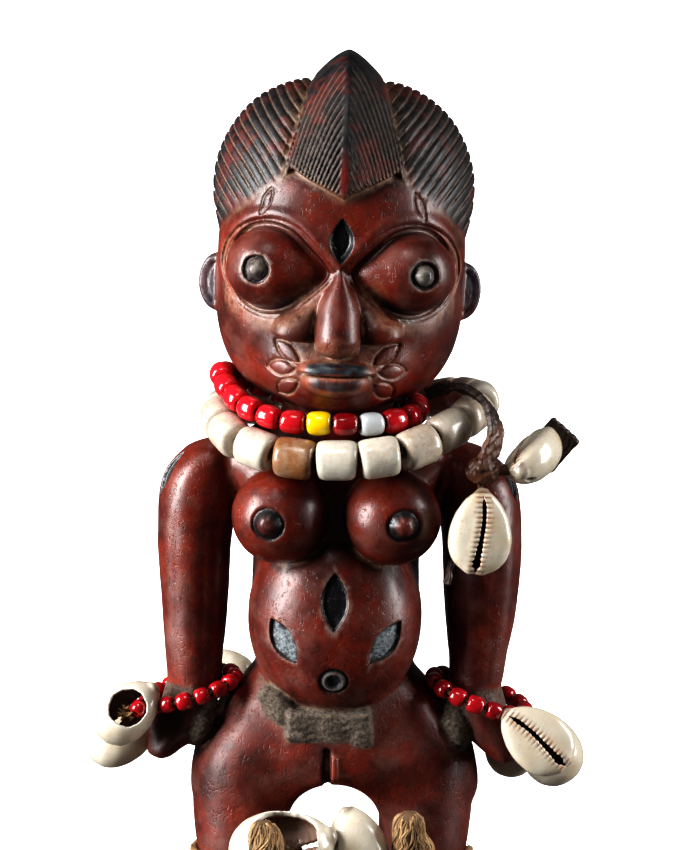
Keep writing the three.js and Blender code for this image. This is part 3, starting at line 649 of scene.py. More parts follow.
def co_of(obj):
    out = np.empty(len(obj.data.vertices) * 3, np.float32)
    obj.data.vertices.foreach_get("co", out)
    return out.reshape(-1, 3).astype(float) / MM


def smooth_shaded(obj):
    obj.data.polygons.foreach_set("use_smooth", np.ones(len(obj.data.polygons), bool))
    obj.data.update()


def decimate(obj, triangles):
    faces = len(obj.data.polygons) * 2
    if faces <= triangles:
        return
    cut = obj.modifiers.new("fewer", "DECIMATE")
    cut.ratio = triangles / faces
    deps = bpy.context.evaluated_depsgraph_get()
    old = obj.data
    obj.data = bpy.data.meshes.new_from_object(obj.evaluated_get(deps))
    obj.modifiers.clear()
    obj.data.name = obj.name
    bpy.data.meshes.remove(old)


def carve(name, field, low, high, step, triangles, settle=0.6):
    """A field's surface as a smooth mesh, each point moved by at most the settle share of a step."""
    values = sample(field, low, high, step)
    P, quads = surface_net(values, low, step)
    obj = mesh_object(name, onto_surface(field, P, step * settle), quads)
    decimate(obj, triangles)
    smooth_shaded(obj)
    return obj


def paint(obj, **values):
    """Numbers from 0 to 1 for each point, by name, that the materials read."""
    for name, value in values.items():
        set_numbers(obj, name, np.clip(value, 0, 1))


def set_numbers(obj, name, value):
    """A named number for each point, as it is."""
    layer = obj.data.attributes.new(name, "FLOAT", "POINT")
    value = np.broadcast_to(value, len(obj.data.vertices))
    layer.data.foreach_set("value", value.astype(np.float32))


def hollows(field, P, reach):
    """How closed in and how exposed each point is over a reach in millimetres, and its normal."""
    g = gradient(field, P)
    n = g / np.maximum(np.linalg.norm(g, axis=1), 1e-3)[:, None]
    hollow = 1 - in_batches(field, P + n * reach) / reach
    edge = 1 + in_batches(field, P - n * reach) / reach
    return hollow, edge, n


def keep(obj, slot, *nodes, material=None):
    if material:
        obj.data.materials.clear()
        obj.data.materials.append(material)
    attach(obj, "root")
    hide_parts(*nodes)
    return obj


# Where the figure is marked, soiled and worn, and where shade is painted
class Layers(dict):
    """Painted shares by name, where the largest wins."""

    def add(self, name, share):
        self[name] = np.maximum(self.get(name, 0.0), share)


def marks_paint(layers, P, q):
    """The blackened, greyed and chipped marks. P is in the body's frame and q in the head's."""
    for side in SIDES:
        r, h, angle = round_mark(q, *pupil_frame(side))
        r = r + 0.08 * np.sin(angle * 5 + side) + 0.05 * np.sin(angle * 9)
        near = np.abs(h) < 4
        layers.add("boss", smooth((3.0 - r) / 0.5) * near)
        layers.add("black", smooth((r - 2.6) / 0.4) * smooth((4.0 - r) / 0.3) * near)
        layers.add("pale", 0.8 * bump(r - 4.3, 0.22) * near)
        edge, off = leaf(q, *TEMPLE_CUTS[side])
        layers.add("black", 0.85 * bump(edge, 0.34) * (off < 5))
        r, h, _ = round_mark(P, *breast_frame(side))
        r = r + 0.35 * wobble(P, 4.5, 71)
        layers.add("black", smooth((r - 2.1) / 0.7) * smooth((4.7 - r) / 0.5) * (np.abs(h) < 5))
        edge, off = leaf(P, *SHOULDER_LENSES[side])
        layers.add("black", smooth((0.3 - edge) / 0.5) * (off < 6))
    for number, lens in enumerate(BELLY_LENSES):
        edge, off = leaf(P, *lens)
        layers.add("black", smooth((0.3 - edge) / 0.4) * (off < 6))
        layers.add("pale", 0.6 * bump(edge - 0.55, 0.25) * (off < 6))
        if number:
            chipped = 0.35 * wobble(P, 2.2, 61)
            layers.add("slate", smooth((-0.5 - edge + chipped) / 0.3) * (off < 6))
    r, h, _ = round_mark(P, *NAVEL)
    near = np.abs(h) < 5
    layers.add("black", smooth((4.5 - r) / 0.5) * near)
    layers.add("grey", 0.45 * smooth((3.6 - r) / 0.5) * near)
    layers.add("pale", 0.7 * bump(r - 2.7, 0.35) * near)


def crust_paint(P, wide):
    """Caked earth on its own lumps, round the wrists and in the fold under the belly."""
    crusty = smooth((1.0 - crust_field(P)) / 0.8) * (P[:, 2] < 100) * (P[:, 2] > 70)
    for side in SIDES:
        band = smooth((3.2 - np.abs(P[:, 2] - 94.5 + side * 0.6)) / 1.5) * (np.abs(P[:, 0]) > 29)
        crusty = np.maximum(crusty, 0.75 * band)
    crease_z = 88.5 + 0.022 * P[:, 0] ** 2
    under = smooth((4.2 - np.abs(P[:, 2] - crease_z)) / 3) * (np.abs(P[:, 0]) < 26) * (P[:, 1] < 0)
    lower_left = 0.45 + 0.45 * smooth(-(P[:, 0] + 4) / 4)
    return np.maximum(crusty, lower_left * under * smooth(wide * 4.0))


def figure_paint(obj):
    """Where the figure is blackened, greyed, dusty, crusted, shaded or worn."""
    P = co_of(obj)
    tight, _, n = hollows(figure_field, P, 0.9)
    wide, proud, _ = hollows(figure_field, P, 3.0)
    q = to_head(P)
    ax, z = np.abs(q[:, 0]), q[:, 2]
    facing = -n[:, 1]
    headward = P[:, 2] > 176
    hair_d, on_crest, count, combed, seam = hair(q)
    over_line = z - hairline_height(q)
    haired = smooth((hair_d * -1 + 1.2) / 0.8) * smooth((over_line + 0.8) / 0.8) * headward
    layers = Layers(haired=haired)
    marks_paint(layers, P, q)
    edge, off = leaf(q, *FOREHEAD_LENS)
    layers.add("black", smooth((0.3 - edge) / 0.4) * (off < 7) * (facing > 0))
    upper_lip = smooth((9.2 - ax) / 2.0) * smooth((1.9 - np.abs(z - 191.6 + 0.012 * ax**2)) / 0.8)
    lower_lip = smooth((7.6 - ax) / 2.5) * smooth((1.8 - np.abs(z - 186.8 - 0.02 * ax**2)) / 0.8)
    inked = np.maximum(upper_lip, 0.85 * lower_lip) * (q[:, 1] < -27)
    layers.add("inked", inked)
    ears = smooth((ax - 34.2) / 1.0) * smooth((10 - np.abs(z - 210)) / 2) * (facing > 0.3)
    layers.add("grey", 0.9 * ears * (q[:, 1] < 3))
    forward = q[:, 1] < -22
    muzzle = smooth((15 - np.hypot(ax, (z - 191.5) * 1.5)) / 6) * forward * (1 - inked)
    corners = smooth((5.2 - np.hypot(ax - 8.5, (z - 211) * 0.8)) / 3.5) * forward
    low_rim = bump(np.hypot(ax - 19.2, z - 216.5) - 14.2, 1.9) * smooth((213 - z) / 5)
    layers.add("dust", smooth((tight - 0.12) / 0.45))
    layers.add("dust", 0.55 * muzzle)
    layers.add("dust", 0.8 * corners * smooth((wide + 0.05) * 5))
    layers.add("dust", 0.8 * low_rim * (q[:, 1] < -12))
    edge_line = bump(over_line, 1.3) * smooth((hair_d * -1 + 2.5) / 1.5) * headward
    layers.add("hair_edge", np.maximum(edge_line, bump(seam, 1.2) * haired))
    layers.add("ridge", on_crest * bump(ax, 1.1) * smooth((252 - z) / 10) * haired)
    layers.add("combed", combed * haired)
    layers.add("crusty", crust_paint(P, wide))
    # Painted shade, darkest in the wide hollows.
    layers.add("shade", smooth((wide - 0.22) / 0.5))
    layers.add("worn_wide", smooth((proud - 0.05) / 0.5))
    layers.add("leathery", smooth((128 - P[:, 2]) / 25) * smooth((P[:, 2] - 20) / 10))
    paint(obj, **layers)
    set_numbers(obj, "comb", count)


def new_material(name):
    material = bpy.data.materials.new(name)
    material.use_nodes = True
    tree = material.node_tree
    return material, Sketch(tree), tree.nodes["Principled BSDF"]


class Sketch:
    """Short hand for a node tree."""

    def __init__(self, tree):
        self.tree = tree
        self.place = tree.nodes.new("ShaderNodeTexCoord").outputs["Object"]

    def node(self, kind, **settings):
        made = self.tree.nodes.new("ShaderNode" + kind)
        for key, value in settings.items():
            setattr(made, key, value)
        return made

    def feed(self, socket, value):
        if isinstance(value, bpy.types.NodeSocket):
            self.tree.links.new(value, socket)
        else:
            socket.default_value = value

    def attribute(self, name):
        return self.node("Attribute", attribute_name=name).outputs["Fac"]

    def math(self, kind, a, b=0.0, clamp=False):
        made = self.node("Math", operation=kind, use_clamp=clamp)
        self.feed(made.inputs[0], a)
        self.feed(made.inputs[1], b)
        return made.outputs[0]

    def span(self, value, low, high, to_low=0.0, to_high=1.0):
        made = self.node("MapRange", clamp=True)
        for socket, number in zip(made.inputs[:5], (value, low, high, to_low, to_high)):
            self.feed(socket, number)
        return made.outputs[0]

    def noise(self, size, detail=4.0, rough=0.55, stretch=(1, 1, 1), shift=0.0):
        """Noise of about 0 to 1, with a feature size in millimetres."""
        mapping = self.node("Mapping")
        self.feed(mapping.inputs[0], self.place)
        mapping.inputs["Scale"].default_value = stretch
        mapping.inputs["Location"].default_value = (shift, shift, shift)
        made = self.node("TexNoise")
        self.feed(made.inputs["Vector"], mapping.outputs[0])
        made.inputs["Scale"].default_value = 1000 / size
        made.inputs["Detail"].default_value = detail
        made.inputs["Roughness"].default_value = rough
        return made.outputs["Fac"]

    def mix(self, share, a, b):
        """Colours, each a socket or three screen values, mixed from a at 0 to b at 1."""
        made = self.node("Mix", data_type="RGBA")
        self.feed(made.inputs[0], share)
        self.feed(made.inputs[6], rgb(a))
        self.feed(made.inputs[7], rgb(b))
        return made.outputs[2]

    def cloud(self, size, detail, rough, low, high, to_low=0.0, to_high=1.0, **how):
        """Noise stretched so that low and high become to_low and to_high."""
        return self.span(self.noise(size, detail, rough, **how), low, high, to_low, to_high)

    def product(self, *factors):
        """Factors multiplied. A name stands for the painted number of that name."""
        total, *rest = [self.attribute(f) if isinstance(f, str) else f for f in factors]
        for factor in rest:
            total = self.math("MULTIPLY", total, factor)
        return total

    def over(self, colour, laid, *factors):
        """A colour with another laid over it, by a share that is the product of the factors."""
        return self.mix(self.product(*factors), colour, laid)

    def comb_line(self, name, low, high):
        """1 along whole numbers of a painted count, fading to 0 from low to high."""
        return self.span(self.math("PINGPONG", self.attribute(name), 0.5), low, high, 1.0, 0.0)

    def bump(self, height, distance, strength=1.0):
        made = self.node("Bump")
        made.inputs["Distance"].default_value = distance * MM
        made.inputs["Strength"].default_value = strength
        self.feed(made.inputs["Height"], height)
        return made.outputs[0]


def rgb(colour):
    """A linear colour from its 0 to 255 screen values. A socket passes through."""
    if isinstance(colour, bpy.types.NodeSocket):
        return colour
    linear = [c / 3294.6 if c <= 10 else ((c / 255 + 0.055) / 1.055) ** 2.4 for c in colour]
    return (*linear, 1.0)


def wood_colour(s, mottle, patches, dusty):
    """Red wood and black hair, with what is inked, rubbed, dusty or caked on them, and painted shade in the
    hollows.
    """
    red = s.mix(s.span(patches, 0.36, 0.64), (62, 23, 17), (112, 38, 22))
    red = s.over(red, (40, 18, 15), s.span(mottle, 0.45, 0.72, 0, 0.5))
    red = s.over(red, (158, 62, 34), "worn_wide", s.span(patches, 0.42, 0.6), 0.55)
    red = s.over(red, (118, 80, 72), s.cloud(10, 5, 0.6, 0.46, 0.66, 0, 0.42, shift=0.6))
    # Painted shade in the hollows.
    red = s.over(red, (30, 13, 13), "shade", 0.7)
    hair = s.mix(s.span(mottle, 0.4, 0.7), (14, 14, 16), (44, 40, 42))
    rubbed = s.cloud(13, 4, 0.65, 0.50, 0.60, shift=0.35)
    hair = s.over(hair, (86, 26, 20), rubbed, s.span(mottle, 0.34, 0.5), 0.85)
    hair = s.over(hair, (110, 24, 20), "ridge", 0.9)
    broken = s.cloud(2.0, 4, 0.6, 0.25, 0.6, 0.25, 1.0, shift=0.8)
    hair = s.over(hair, (112, 96, 84), s.comb_line("comb", 0.04, 0.15), "combed", broken, 0.75)
    body = s.mix(s.attribute("haired"), red, hair)
    body = s.over(body, (112, 88, 66), "hair_edge", s.cloud(2.4, 4, 0.6, 0.35, 0.6, shift=0.15), 0.75)
    body = s.over(body, (20, 20, 24), "black")
    body = s.over(body, s.mix(s.span(mottle, 0.4, 0.65), (34, 34, 40), (74, 74, 82)), "grey", 0.9)
    slate = s.cloud(0.9, 4, 0.65, 0.38, 0.66, shift=0.4)
    body = s.over(body, s.mix(slate, (62, 70, 76), (150, 156, 158)), "slate")
    body = s.over(body, s.mix(s.span(mottle, 0.4, 0.6), (70, 66, 66), (124, 116, 108)), "boss")
    ink = s.mix(s.span(mottle, 0.42, 0.62), (14, 19, 25), (58, 66, 72))
    body = s.over(body, ink, "inked", s.span(mottle, 0.2, 0.5, 0.5, 1.0))
    body = s.over(body, (150, 140, 130), "pale", 0.75)
    body = s.over(body, (148, 112, 88), dusty, 0.75)
    specks = s.cloud(0.9, 4, 0.75, 0.58, 0.66, shift=0.9)
    body = s.over(body, (132, 100, 80), specks, s.span(patches, 0.46, 0.62, 0, 0.4))
    crust = s.mix(s.cloud(0.9, 5, 0.7, 0.35, 0.65), (58, 50, 44), (116, 104, 92))
    return s.over(body, crust, "crusty")


def wood_relief(s, mottle, patches, pores):
    """Pits, pores and the crazing of the lower body."""
    pitted = s.cloud(1.3, 3, 0.6, 0.60, 0.72, 0, 0.7, shift=0.55)
    pitted = s.product(pitted, s.span(patches, 0.45, 0.6, 0.1, 1.0))
    cells = s.node("TexVoronoi", feature="DISTANCE_TO_EDGE")
    cells.inputs["Scale"].default_value = 1000 / 1.9
    s.feed(cells.inputs["Vector"], s.place)
    crazed = s.span(cells.outputs["Distance"], 0.0, 0.14, 1.0, 0.0)
    crazed = s.product(crazed, s.cloud(5, 3, 0.6, 0.48, 0.62, shift=0.22))
    relief = s.product(mottle, 0.35)
    for cut in (pitted, s.product("leathery", 0.4, crazed), s.product(pores, 0.2)):
        relief = s.math("SUBTRACT", relief, cut)
    return relief


def wood_material():
    material, s, shader = new_material("patinated_wood")
    patches = s.noise(16, 5, 0.6)
    mottle = s.noise(3.2, 5, 0.62, shift=0.3)
    pores = s.cloud(0.55, 2, 0.5, 0.62, 0.70, stretch=(1, 1, 0.16), shift=0.7)
    bare = s.span(s.attribute("haired"), 0.0, 1.0, 1.0, 0.2)
    unmarked = s.span(s.attribute("black"), 0.0, 1.0, 1.0, 0.15)
    dusty = s.product("dust", s.cloud(1.6, 4, 0.6, 0.3, 0.6, shift=0.5), bare, unmarked)
    colour = wood_colour(s, mottle, patches, dusty)
    s.feed(shader.inputs["Base Color"], s.over(colour, (18, 10, 10), pores, 0.5))
    rough = s.span(mottle, 0.3, 0.75, 0.30, 0.42)
    for share, more in ((dusty, 0.3), ("haired", 0.16), ("leathery", 0.12), ("crusty", 0.5)):
        rough = s.math("ADD", rough, s.product(share, more), clamp=True)
    s.feed(shader.inputs["Roughness"], rough)
    s.feed(shader.inputs["Normal"], s.bump(wood_relief(s, mottle, patches, pores), 0.4, 0.45))
    shader.inputs["Specular IOR Level"].default_value = 0.42
    shader.inputs["Coat Weight"].default_value = 0.08
    shader.inputs["Coat Roughness"].default_value = 0.22
    return material


FIGURE_BOX = ((-60, -44, -2), (60, 40, 278))
FIGURE_STEP = 0.42
FIGURE_TRIANGLES = 195000


def make_figure():
    obj = carve("carved_figure", figure_field, *FIGURE_BOX, FIGURE_STEP, FIGURE_TRIANGLES)
    figure_paint(obj)
    return keep(obj, "wood", "figure", material=wood_material())


# Studio
LIT = Vector((0, 0, 0.16))
SOFTBOXES = (
    ("left_softbox", (-0.70, -0.26, 0.34), (0.34, 0.62), 15),
    ("right_softbox", (0.72, -0.08, 0.32), (0.20, 0.60), 5.5),
    ("top_softbox", (-0.15, -0.50, 1.10), (0.30, 0.30), 2.2),
)


def add_floor():
    bpy.ops.mesh.primitive_plane_add(size=60, location=(0, 0, 0))
    floor = bpy.context.object
    floor.name = "floor"
    material, s, shader = new_material("floor")
    away = s.node("VectorMath", operation="LENGTH")
    s.feed(away.inputs[0], s.place)
    s.feed(shader.inputs["Emission Strength"], s.span(away.outputs["Value"], 0.10, 0.6, 0.45, 1.5))
    shader.inputs["Emission Color"].default_value = (1, 1, 1, 1)
    shader.inputs["Base Color"].default_value = (0.86, 0.86, 0.86, 1)
    shader.inputs["Roughness"].default_value = 0.9
    floor.data.materials.append(material)
    floor.visible_diffuse = False
    floor.visible_glossy = False


def add_world():
    """A pale surround, brightest behind the object and dim in front of it."""
    world = bpy.data.worlds.new("studio")
    bpy.context.scene.world = world
    world.use_nodes = True
    tree = world.node_tree
    s = Sketch(tree)
    way = s.node("SeparateXYZ")
    s.feed(way.inputs[0], tree.nodes.new("ShaderNodeTexCoord").outputs["Generated"])
    s.feed(tree.nodes["Background"].inputs[1], s.span(way.outputs["Y"], -0.6, 0.8, 0.06, 0.08))
    tree.nodes["Background"].inputs[0].default_value = (1, 1, 1, 1)


def add_studio():
    bpy.context.scene.view_settings.view_transform = "Standard"
    bpy.context.scene.view_settings.look = "High Contrast"
    add_floor()
    add_world()
    for name, at, size, power in SOFTBOXES:
        light = bpy.data.lights.new(name, "AREA")
        light.shape = "RECTANGLE"
        light.size, light.size_y = size
        light.energy = power
        lamp = bpy.data.objects.new(name, light)
        lamp.location = at
        lamp.rotation_euler = (LIT - Vector(at)).to_track_quat("-Z", "Y").to_euler()
        bpy.context.scene.collection.objects.link(lamp)


# Strings, straps and shells
def unit(v):
    v = np.array(v, float)
    return v / np.linalg.norm(v)


def curve_through(points, closed=False, samples=400):
    """Centripetal Catmull-Rom through the points, evenly spaced along its length."""
    p = np.array(points, float)
    ends = (p[-1], p[:2]) if closed else (2 * p[0] - p[1], 2 * p[-1] - p[-2])
    p = np.vstack([ends[0], p, ends[1]])
    dense = []
    for a, b, c, d in zip(p, p[1:], p[2:], p[3:]):
        t0 = 0.0
        t1 = t0 + math.sqrt(np.linalg.norm(b - a))
        t2 = t1 + math.sqrt(np.linalg.norm(c - b))
        t3 = t2 + math.sqrt(np.linalg.norm(d - c))
        t = np.linspace(t1, t2, 60, endpoint=False)[:, None]
        ab = (t1 - t) / (t1 - t0) * a + (t - t0) / (t1 - t0) * b
        bc = (t2 - t) / (t2 - t1) * b + (t - t1) / (t2 - t1) * c
        cd = (t3 - t) / (t3 - t2) * c + (t - t2) / (t3 - t2) * d
        first = (t2 - t) / (t2 - t0) * ab + (t - t0) / (t2 - t0) * bc
        second = (t3 - t) / (t3 - t1) * bc + (t - t1) / (t3 - t1) * cd
        dense.append((t2 - t) / (t2 - t1) * first + (t - t1) / (t2 - t1) * second)
    dense = np.vstack(dense + [p[-2][None]])
    run = np.concatenate([[0], np.cumsum(np.linalg.norm(np.diff(dense, axis=0), axis=1))])
    at = np.linspace(0, run[-1], samples + 1)
    return np.column_stack([np.interp(at, run, dense[:, i]) for i in range(3)])


def length_of(path):
    return np.linalg.norm(np.diff(path, axis=0), axis=1).sum()


def frames_along(path, closed=False):
    """Tangent and two side directions at each point, carried along without twisting."""
    tangent = np.gradient(path, axis=0)
    if closed:
        tangent[0] = tangent[-1] = path[1] - path[-2]
    tangent /= np.linalg.norm(tangent, axis=1)[:, None]
    side = unit(np.cross(tangent[0], (0.13, 0.07, 1.0)))
    sides = []
    for t in tangent:
        side = unit(side - t * (side @ t))
        sides.append(side)
    sides = np.array(sides)
    if closed:
        other = np.cross(tangent[0], sides[0])
        miss = math.atan2(sides[-1] @ other, sides[-1] @ sides[0])
        angle = -miss * np.linspace(0, 1, len(path))[:, None]
        sides = sides * np.cos(angle) + np.cross(tangent, sides) * np.sin(angle)
    return tangent, sides, np.cross(tangent, sides)


class Builder:
    """Gathers points, faces and per-point numbers of one object."""

    def __init__(self):
        self.points, self.faces, self.notes = [], [], []
        self.count = 0

    def grid(self, rings, note=0.5, closed=False):
        """Rings of points joined into a skin. An open run of rings is closed at its ends."""
        rings = np.asarray(rings)
        n, m = rings.shape[:2]
        base = self.count + np.arange(n * m).reshape(n, m)
        if closed:
            base = np.vstack([base, base[:1]])
        a, b = base[:-1], base[1:]
        quads = np.stack([a, np.roll(a, -1, 1), np.roll(b, -1, 1), b], -1).reshape(-1, 4)
        points = [rings.reshape(-1, 3)]
        if not closed:
            first, last = self.count + n * m, self.count + n * m + 1
            points.append(np.array([rings[0].mean(0), rings[-1].mean(0)]))
            low, high = base[0], base[-1]
            for one, two, tip in ((np.roll(low, -1), low, first), (high, np.roll(high, -1), last)):
                self.faces.append(np.stack([one, two, np.full(m, tip), np.full(m, tip)], -1))
        self.faces.append(quads)
        points = np.vstack(points)
        self.points.append(points)
        self.notes.append(np.broadcast_to(np.asarray(note, float), (len(points),)))
        self.count += len(points)

    def build(self, name):
        faces = np.vstack(self.faces)
        three = faces[:, 2] == faces[:, 3]
        obj = mesh_object(name, np.vstack(self.points), faces[~three], faces[three][:, :3])
        smooth_shaded(obj)
        paint(obj, note=np.concatenate(self.notes))
        return obj

    def tube(self, path, radius, sides=8, closed=False, note=0.5):
        _, side, other = frames_along(path, closed)
        radius = np.broadcast_to(np.asarray(radius, float), (len(path),))[:, None, None]
        angle = np.linspace(0, 2 * math.pi, sides, endpoint=False)[None, :, None]
        ring = side[:, None] * np.cos(angle) + other[:, None] * np.sin(angle)
        rings = path[:, None] + ring * radius
        self.grid(rings[:-1] if closed else rings, note, closed)

    def twisted(self, path, radius, strands=3, lay=3.2, sides=6, closed=False, note=0.5):
        """A cord of strands laid round each other, one turn in each lay."""
        _, side, other = frames_along(path, closed)
        run = np.concatenate([[0], np.cumsum(np.linalg.norm(np.diff(path, axis=0), axis=1))])
        turns = run[-1] / lay
        if closed:
            turns = round(turns)
        for strand in range(strands):
            angle = (2 * math.pi * (turns * run / run[-1] + strand / strands))[:, None]
            middle = path + 0.5 * radius * (side * np.cos(angle) + other * np.sin(angle))
            self.tube(middle, radius * 0.56, sides, closed, note=note)


# Beads, with the profile of one half as shares of its radius and half length
BEAD_PROFILE = (
    (0.34, 0.88), (0.46, 0.98), (0.62, 1.0), (0.78, 0.965), (0.89, 0.89), (0.96, 0.76), (0.99, 0.6),
    (1.0, 0.35), (1.0, 0.12),
)
STRING_R = 0.8


def add_bead(build, at, along, r, length, rng, note, sides=40, barrel=0.0):
    """A cut cylinder bead with rounded ends and a bored hole, narrower at its ends by the barrel share."""
    along = unit(along + rng.normal(0, 0.035, 3))
    side = unit(np.cross(along, (0.3, 0.2, 1.0)))
    other = np.cross(along, side)
    half = length / 2
    bore = STRING_R * 1.05 / r
    outer = [(bore, 0.80), *BEAD_PROFILE]
    profile = [(w, -h) for w, h in outer] + [(w, h) for w, h in reversed(outer)]
    slope = rng.uniform(-0.06, 0.06, 2)
    oval = 1 + rng.uniform(-0.02, 0.02)
    angle = np.linspace(0, 2 * math.pi, sides, endpoint=False)
    rings = []
    for w, h in profile:
        w = w * (1 - barrel * h * h * (w > 0.6))
        x, y = w * r * oval * np.cos(angle), w * r / oval * np.sin(angle)
        z = h * half * (1 + slope[0] * x / r + slope[1] * y / r)
        rings.append(at + x[:, None] * side + y[:, None] * other + z[:, None] * along)
    build.grid(rings, note, closed=True)


def spot(path, share):
    """The place and direction at a share of a closed path's length."""
    i = (share % 1) * (len(path) - 1)
    low = int(i)
    at = path[low] + (path[low + 1] - path[low]) * (i - low)
    return at, unit(path[(low + 2) % (len(path) - 1)] - path[low - 1 if low else -2])


WHITE_LOOP = (
    (0, -32.4, 166.4), (17, -30.4, 168.2), (31, -20, 173.6), (39.6, -4, 178.4), (33, 15, 177.5),
    (14, 27.5, 172), (-12, 27.5, 172), (-28.8, 17, 173.4), (-33.2, -4, 174.2), (-27.6, -21.4, 170),
    (-15.5, -30, 167),
)
RED_LOOP = (
    (-5, -28.4, 175.8), (8, -27.8, 175.6), (18.5, -21, 176.4), (21.6, -10, 176.4), (21.8, 3, 176.6),
    (16, 15.8, 176.4), (1, 20.8, 175.4), (-16, 14.5, 178), (-28.8, 8.5, 182.8), (-32.6, -1.5, 185.4),
    (-29.8, -12, 181.6), (-24, -20.8, 178.4), (-15, -26.6, 176.2),
)
# The tones say how stained each white bead is, and how dark each red one, from the middle of the
# front towards the figure's left. The singles are beads of another glass, by number.
NECKLACES = {
    "white": {
        "loop": WHITE_LOOP, "r": 5.6, "widths": (0.955, 1.0), "lengths": (0.92, 0.985),
        "barrel": 0.0, "string_tone": 0.4, "singles": {},
        "tones": (
            0.12, 0.2, 0.45, 0.3, 0.4, 0.2, 0.3, 0.5, 0.3, 0.4, 0.3, 0.5, 0.3, 0.4, 0.2, 0.3, 0.35,
            0.15, 0.95,
        ),
    },
    "red": {
        "loop": RED_LOOP, "r": 3.45, "widths": (0.95, 1.0), "lengths": (0.9, 0.98),
        "barrel": 0.16, "string_tone": 0.3, "singles": {0: "yellow", 2: "milky"},
        "tones": (
            0, 0.9, 0, 0.4, 0.6, 0.3, 0.4, 0.2, 0.5, 0.7, 0.3, 0.6, 0.4, 0.5, 0.3, 0.6, 0.2, 0.3,
            0.1, 0.15, 0.2, 0.25, 0.3, 0.4,
        ),
    },
}


def make_necklaces(looks):
    rng = np.random.default_rng(11)
    string = Builder()
    for colour, necklace in NECKLACES.items():
        beads = Builder()
        path = curve_through(necklace["loop"], True)
        string.twisted(path, STRING_R * 0.9, closed=True, note=necklace["string_tone"])
        count = len(necklace["tones"])
        pitch = length_of(path) / count
        for i, tone in enumerate(necklace["tones"]):
            at, along = spot(path, i / count)
            r = necklace["r"] * rng.uniform(*necklace["widths"])
            length = pitch * rng.uniform(*necklace["lengths"])
            if i in necklace["singles"]:
                glass = necklace["singles"][i]
                single = Builder()
                add_bead(single, at, along, r, length, rng, 0.5, barrel=0.12)
                obj = single.build(f"{glass}_glass_bead")
                keep(obj, f"{glass}_bead", f"{glass}_bead", material=looks[glass])
            else:
                add_bead(beads, at, along, r, length, rng, tone, barrel=necklace["barrel"])
        obj = beads.build(f"{colour}_beads")
        keep(obj, f"{colour}_beads", f"{colour}_bead_necklace", material=looks[colour])
    obj = string.build("necklace_strings")
    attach(obj, "root")
    obj.data.materials.append(looks["fibre"])


# Cowries
COWRIE = {"length": 23.0, "width": 17.0, "height": 11.0}
SHELL_WALL = 1.25
SHELL_STEP = 0.28
SHELL_TRIANGLES = 34000
TOOTH_SPACING = 1.35
BREACH_AT = np.array([0.3, 1.5, -COWRIE["height"] * 0.66])


def shell_axes(tip, mouth):
    """Axes of a shell from the ways that its narrow end and its mouth face."""
    y = unit(tip)
    x = unit(np.cross(y, unit(mouth)))
    return np.column_stack([x, y, np.cross(x, y)])


def egg(q, shrink=0.0):
    """The shell's outer form in its own frame: narrow end at +Y, mouth side at +Z."""
    taper = np.clip(1 - 0.2 * q[:, 1] / (COWRIE["length"] / 2), 0.6, 1.4)
    rx = COWRIE["width"] / 2 * taper - shrink
    ry = COWRIE["length"] / 2 - shrink
    rz = np.where(q[:, 2] > 0, 0.32, 0.68) * COWRIE["height"] * taper - shrink
    power = np.where(q[:, 2] > 0, 2.9, 2.15)
    size = (np.hypot(q[:, 0] / rx, q[:, 1] / ry) ** power + np.abs(q[:, 2] / rz) ** power) ** (1 / power)
    return scaled(np.linalg.norm(q, axis=1), size)


def mouth_line(q):
    """Distance across from the shell's curved slit, and the slit's half width there."""
    y = q[:, 1]
    middle = 0.75 * np.sin((y + 3) / 5.0) - 0.25
    width = 0.62 + 0.045 * np.maximum(-y, 0) + 0.35 * smooth((-y - 6) / 3)
    return q[:, 0] - middle, width * smooth((10.9 - np.abs(y)) / 3.2)


def breach_reach(q):
    """Distance from the middle of a broken or cut back."""
    return np.linalg.norm((q - BREACH_AT) * np.array([1, 1, 0.75]), axis=1)


def cowrie_field(q, spec, seed):
    d = smin(egg(q), ellipsoid(q, (0.2, 10.6, -1.2), (2.0, 1.7, 1.8)), 0.8)
    across, width = mouth_line(q)
    teeth = 0.5 + 0.5 * np.cos(2 * math.pi * q[:, 1] / TOOTH_SPACING)
    lips = smooth((q[:, 2] + 0.5) / 2)
    d = d + lips * 0.32 * bump(across, 2.1) * (1 - teeth) * smooth((9.6 - np.abs(q[:, 1])) / 1.5)
    d = d - lips * 0.35 * bump(np.abs(across) - 1.9, 1.2)
    slit = np.abs(across) - width * (0.85 + 0.3 * (1 - teeth))
    hollow = np.minimum(np.maximum(slit, 0.3 - q[:, 2]), egg(q, SHELL_WALL))
    if "hole" in spec:
        angle = np.arctan2(q[:, 1] - BREACH_AT[1], q[:, 0] - BREACH_AT[0])
        rough = 0.35 * np.sin(angle * 5 + seed) + 0.22 * np.sin(angle * 11 + 2 * seed)
        rough = rough + 0.12 * np.sin(angle * 23)
        hollow = np.minimum(hollow, breach_reach(q) - spec["hole"] - spec["ragged"] * rough)
    elif "pierced" in spec:
        bore = np.hypot(q[:, 0] - 0.6, q[:, 1] - 8.2) - 1.25
        hollow = np.minimum(hollow, np.maximum(bore, q[:, 2] + 0.4))
    d = smax(d, -hollow, 0.22)
    return d + 0.05 * np.sin(q[:, 1] * 1.1 + seed) * np.sin(q[:, 0] * 0.9 + 1 + seed)


